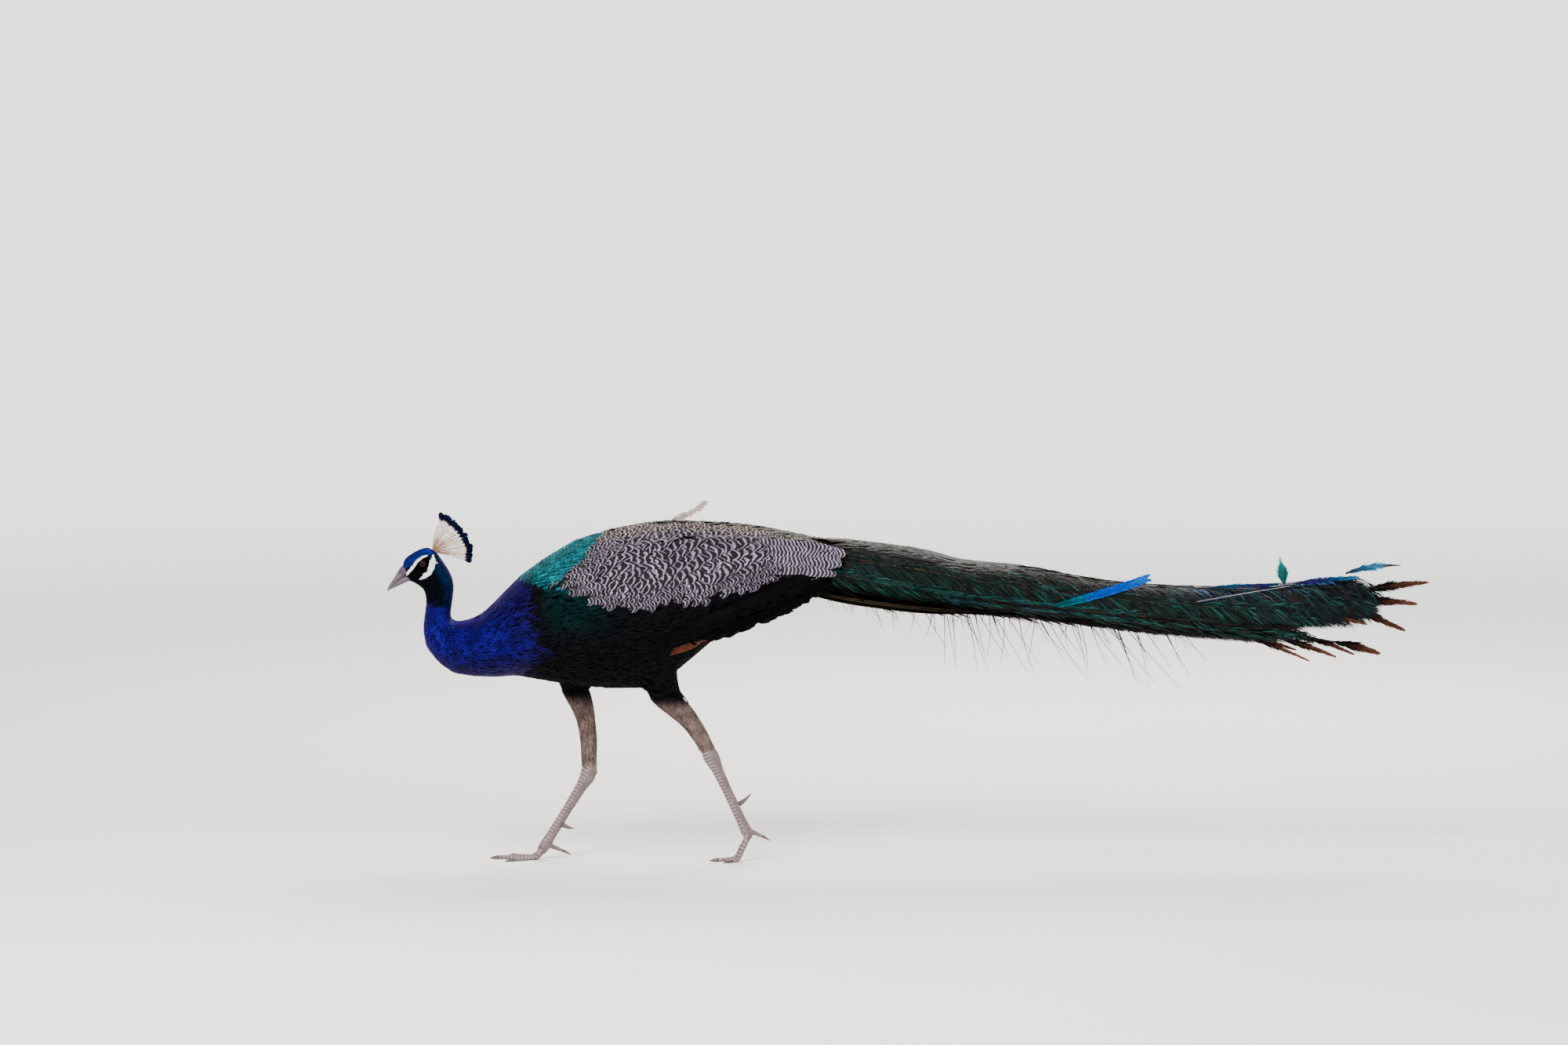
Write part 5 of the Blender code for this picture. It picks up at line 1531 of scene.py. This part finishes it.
vanes("tail_feathers", tail, tail_side, 0.0125, [0.5, 0.8, 1, 1, 1, 1, 1, 1, 1, 0.95, 0.8, 0.45],
      tail_vane, tail_tint * chance.uniform(0.7, 1.3, (QUILLS, 1, 1, 1)), across=6, dome=0.12,
      rag=0.15)
strips("tail_shafts", tail + np.array((0, 0, 0.0012)), 0.0010, quills, (0.085, 0.062, 0.038), 0.15)

# %% Black coverts with pointed tips, along the train's lower edge
LOW = int(64 * DRAFT)
x = np.linspace(-0.130, 0.330, LOW) + chance.uniform(-0.006, 0.006, LOW)
hand = alternate(LOW)
turn = chance.uniform(2.0, 2.85, LOW)
s = np.linspace(0, 1, 7)[None]
reach = chance.uniform(0.050, 0.085, LOW)[:, None]
path = in_train(x[:, None] + reach * s, turn[:, None] + 0.25 * s, hand[:, None],
                0.93 + 0.10 * s + 0.07 * s ** 3)
sag = 0.006 * smooth(x, 0.24, 0.16) * smooth(turn, 2.2, 2.7)
path[..., 2] -= 0.004 * s ** 2 + sag[:, None] * s
side = unit(np.stack([0 * turn, -np.cos(turn) * hand, np.sin(turn)], 1))[:, None] + 0 * path
vanes("low_coverts", path, side, 0.0065, [0.7, 1, 1, 0.9, 0.7, 0.4, 0.1], dusk,
      np.array((0.014, 0.010, 0.008)) * chance.uniform(0.6, 1.6, (LOW, 1)), across=4, rag=0.5,
      lag=0.9)

# %% Fine single barbs that hang below
HAIRS, SHORT = int(110 * DRAFT), 8
x = chance.uniform(-0.13, 0.42, HAIRS)
x[:SHORT] = chance.uniform(-0.15, -0.06, SHORT)
s = np.linspace(0, 1, 8)[None]
drop = (0.018 + 0.080 * chance.random(HAIRS) ** 1.8) * smooth(x, -0.17, 0.05).clip(0.35)
drop = drop[:, None]
lean = chance.normal(0.28, 0.22, HAIRS)[:, None] + 0.5 * smooth(x, 0.20, 0.40)[:, None]
root = in_train(x, np.full(HAIRS, 2.9), alternate(HAIRS), 0.9)
path = root[:, None] + np.stack([lean * drop * s + 0.012 * chance.normal(0, 1, (HAIRS, 1)) * s ** 2,
                                 chance.normal(0, 0.1, (HAIRS, 1)) * drop * s,
                                 -drop * s - 0.004 * s], -1)
tint = np.where((chance.random(HAIRS) < smooth(x, 0.10, 0.40))[:, None], (0.015, 0.060, 0.060),
                (0.075, 0.032, 0.028))
strips("hanging_barbs", path, 0.00085, quills, tint, 0.35, across=3)

# %% Short coverts over the train's root
x, turn = (np.tile(v.ravel(), 2) for v in np.meshgrid(np.arange(-0.150, 0.130, 0.0095),
                                                      np.linspace(0.05, 2.5, 24)))
hand = np.repeat((-1.0, 1.0), len(x) // 2)
x = x + chance.uniform(-0.005, 0.005, len(x))
turn = turn + chance.uniform(-0.07, 0.07, len(x))
core_cover = cover(core.data)
roots = on_skin(in_train(x, np.maximum(turn, 0.02), hand, 0.85), core_cover)[0]
grow("root_coverts", roots, 0.046, 0.0034, 0.0105, gloss, way=unit((1.0, 0, -0.12)), lag=1.4,
     rag=0.5, colours=train_colours(x, turn, chance.random(len(x))), over_what=core_cover)

# %% The eyes of the train, on its upper side
SPOT_LENGTH = 0.036
spot_finish = Finish("eye_spots", Metallic=0.45, Roughness=0.38, Specular_Tint=GLINT_TINT)
along, across, _ = spot_finish.quill()
ring = (((along - 0.52) * 2.1) * ((along - 0.52) * 2.1) + across * across) ** 0.5
notch = ring + (0.40 - along).step(0.0, 0.25) * (1 - abs(across).step(0.0, 0.22)) * 0.30
colour = spot_finish.ramp(notch, (0.0, (0.015, 0.010, 0.16)), (0.28, (0.020, 0.015, 0.22)),
                          (0.33, (0.010, 0.19, 0.26)), (0.46, (0.012, 0.24, 0.28)),
                          (0.52, (0.14, 0.060, 0.018)), (0.70, (0.20, 0.095, 0.022)),
                          (0.76, (0.10, 0.16, 0.030)), (0.82, (0.16, 0.10, 0.03)),
                          (0.90, (0.035, 0.085, 0.030)), (1.0, (0.025, 0.040, 0.020)))
spot_finish.feed("Base Color", spot_finish.mottled(colour, (0.02, 0.05, 0.03), 90))
spot_finish.bump(fibres(along, across, 60, 14), 0.0003, 0.4)
spots = []
for k, x in enumerate(np.arange(0.03, 0.63, 0.030)):
    for side, turns in ((1.0, (0.14, 0.60, 1.02)), (-1.0, (0.20, 0.50) if k == 6 else (0.16,))):
        for turn in turns:
            x_here = x + chance.uniform(-0.008, 0.008)
            spots.append((x_here, turn + 0.12 * (k % 2) + chance.uniform(-0.05, 0.05), side))
s = np.linspace(0, 1, 11)[None]
x, turn, side = np.array(spots).T[:, :, None]
x, turn = x + SPOT_LENGTH * s, turn + 0 * s
path = in_train(x, turn, side, 0.945 + 0.010 * np.sin(math.pi * s))
way = unit(np.gradient(path, axis=1))
out = unit(np.cross(tangent(x, turn, side), way) * side[..., None])
vanes("eye_spots", path, unit(np.cross(way, out)), 0.0140,
      np.sqrt(np.clip(1 - (2 * s[0] - 1.04) ** 2, 0.03, 1)), spot_finish, (0.1, 0.1, 0.1), across=8,
      dome=0.03, lag=0.1, rag=0.05)

# %% Attach the pieces, look up their slots and hide the solids they replace
# The record's slots, by the start of each piece's name: each piece is looked up in them, and one
# that fits none stops the script.
SLOTS = {"barred_plumage": ("barred", "loose"), "blue_plumage": ("blue_coat", "shawl"),
         "black_plumage": ("black", "flight", "skin", "low_coverts", "lid"),
         "blue_vane": ("blue_plume", "bright", "crest_paddle"), "crest_shafts": ("crest",),
         "green_train": ("eye_spots", "train", "root", "back"), "eye_brown": ("eye",),
         "brown_quills": ("tip", "tail", "rufous", "pale", "hanging"),
         "horn": ("upper", "lower", "claws"), "leg_down": ("shin",), "leg_scales": ("legs",)}
REPLACED = {"skin": FLESH, "train_core": TRAIN, "legs": LEG_NODES, "claws": CLAWS,
            "eyes": ["eye_left", "eye_right"], "upper_bill": ["bill_upper"],
            "lower_bill": ["bill_lower"], "crest_shafts": ["crest_fan"],
            "crest_paddles": ["crest_tips"], "blue_plume": ["plume_blue"],
            "tip_fork_high": ["plume_fork_high"], "tip_fork_low": ["plume_fork_low"],
            "tip_middle": ["plume_middle"], "tip_under": ["plume_under"], "tip_top": ["plume_top"],
            "tail_feathers": ["tail"], "loose_feather": ["back_feather"]}
for made in pieces:
    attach(made, "root")
    next(slot for slot, starts in SLOTS.items() if made.name.startswith(starts))
    if made.name in REPLACED:
        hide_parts(*REPLACED[made.name])
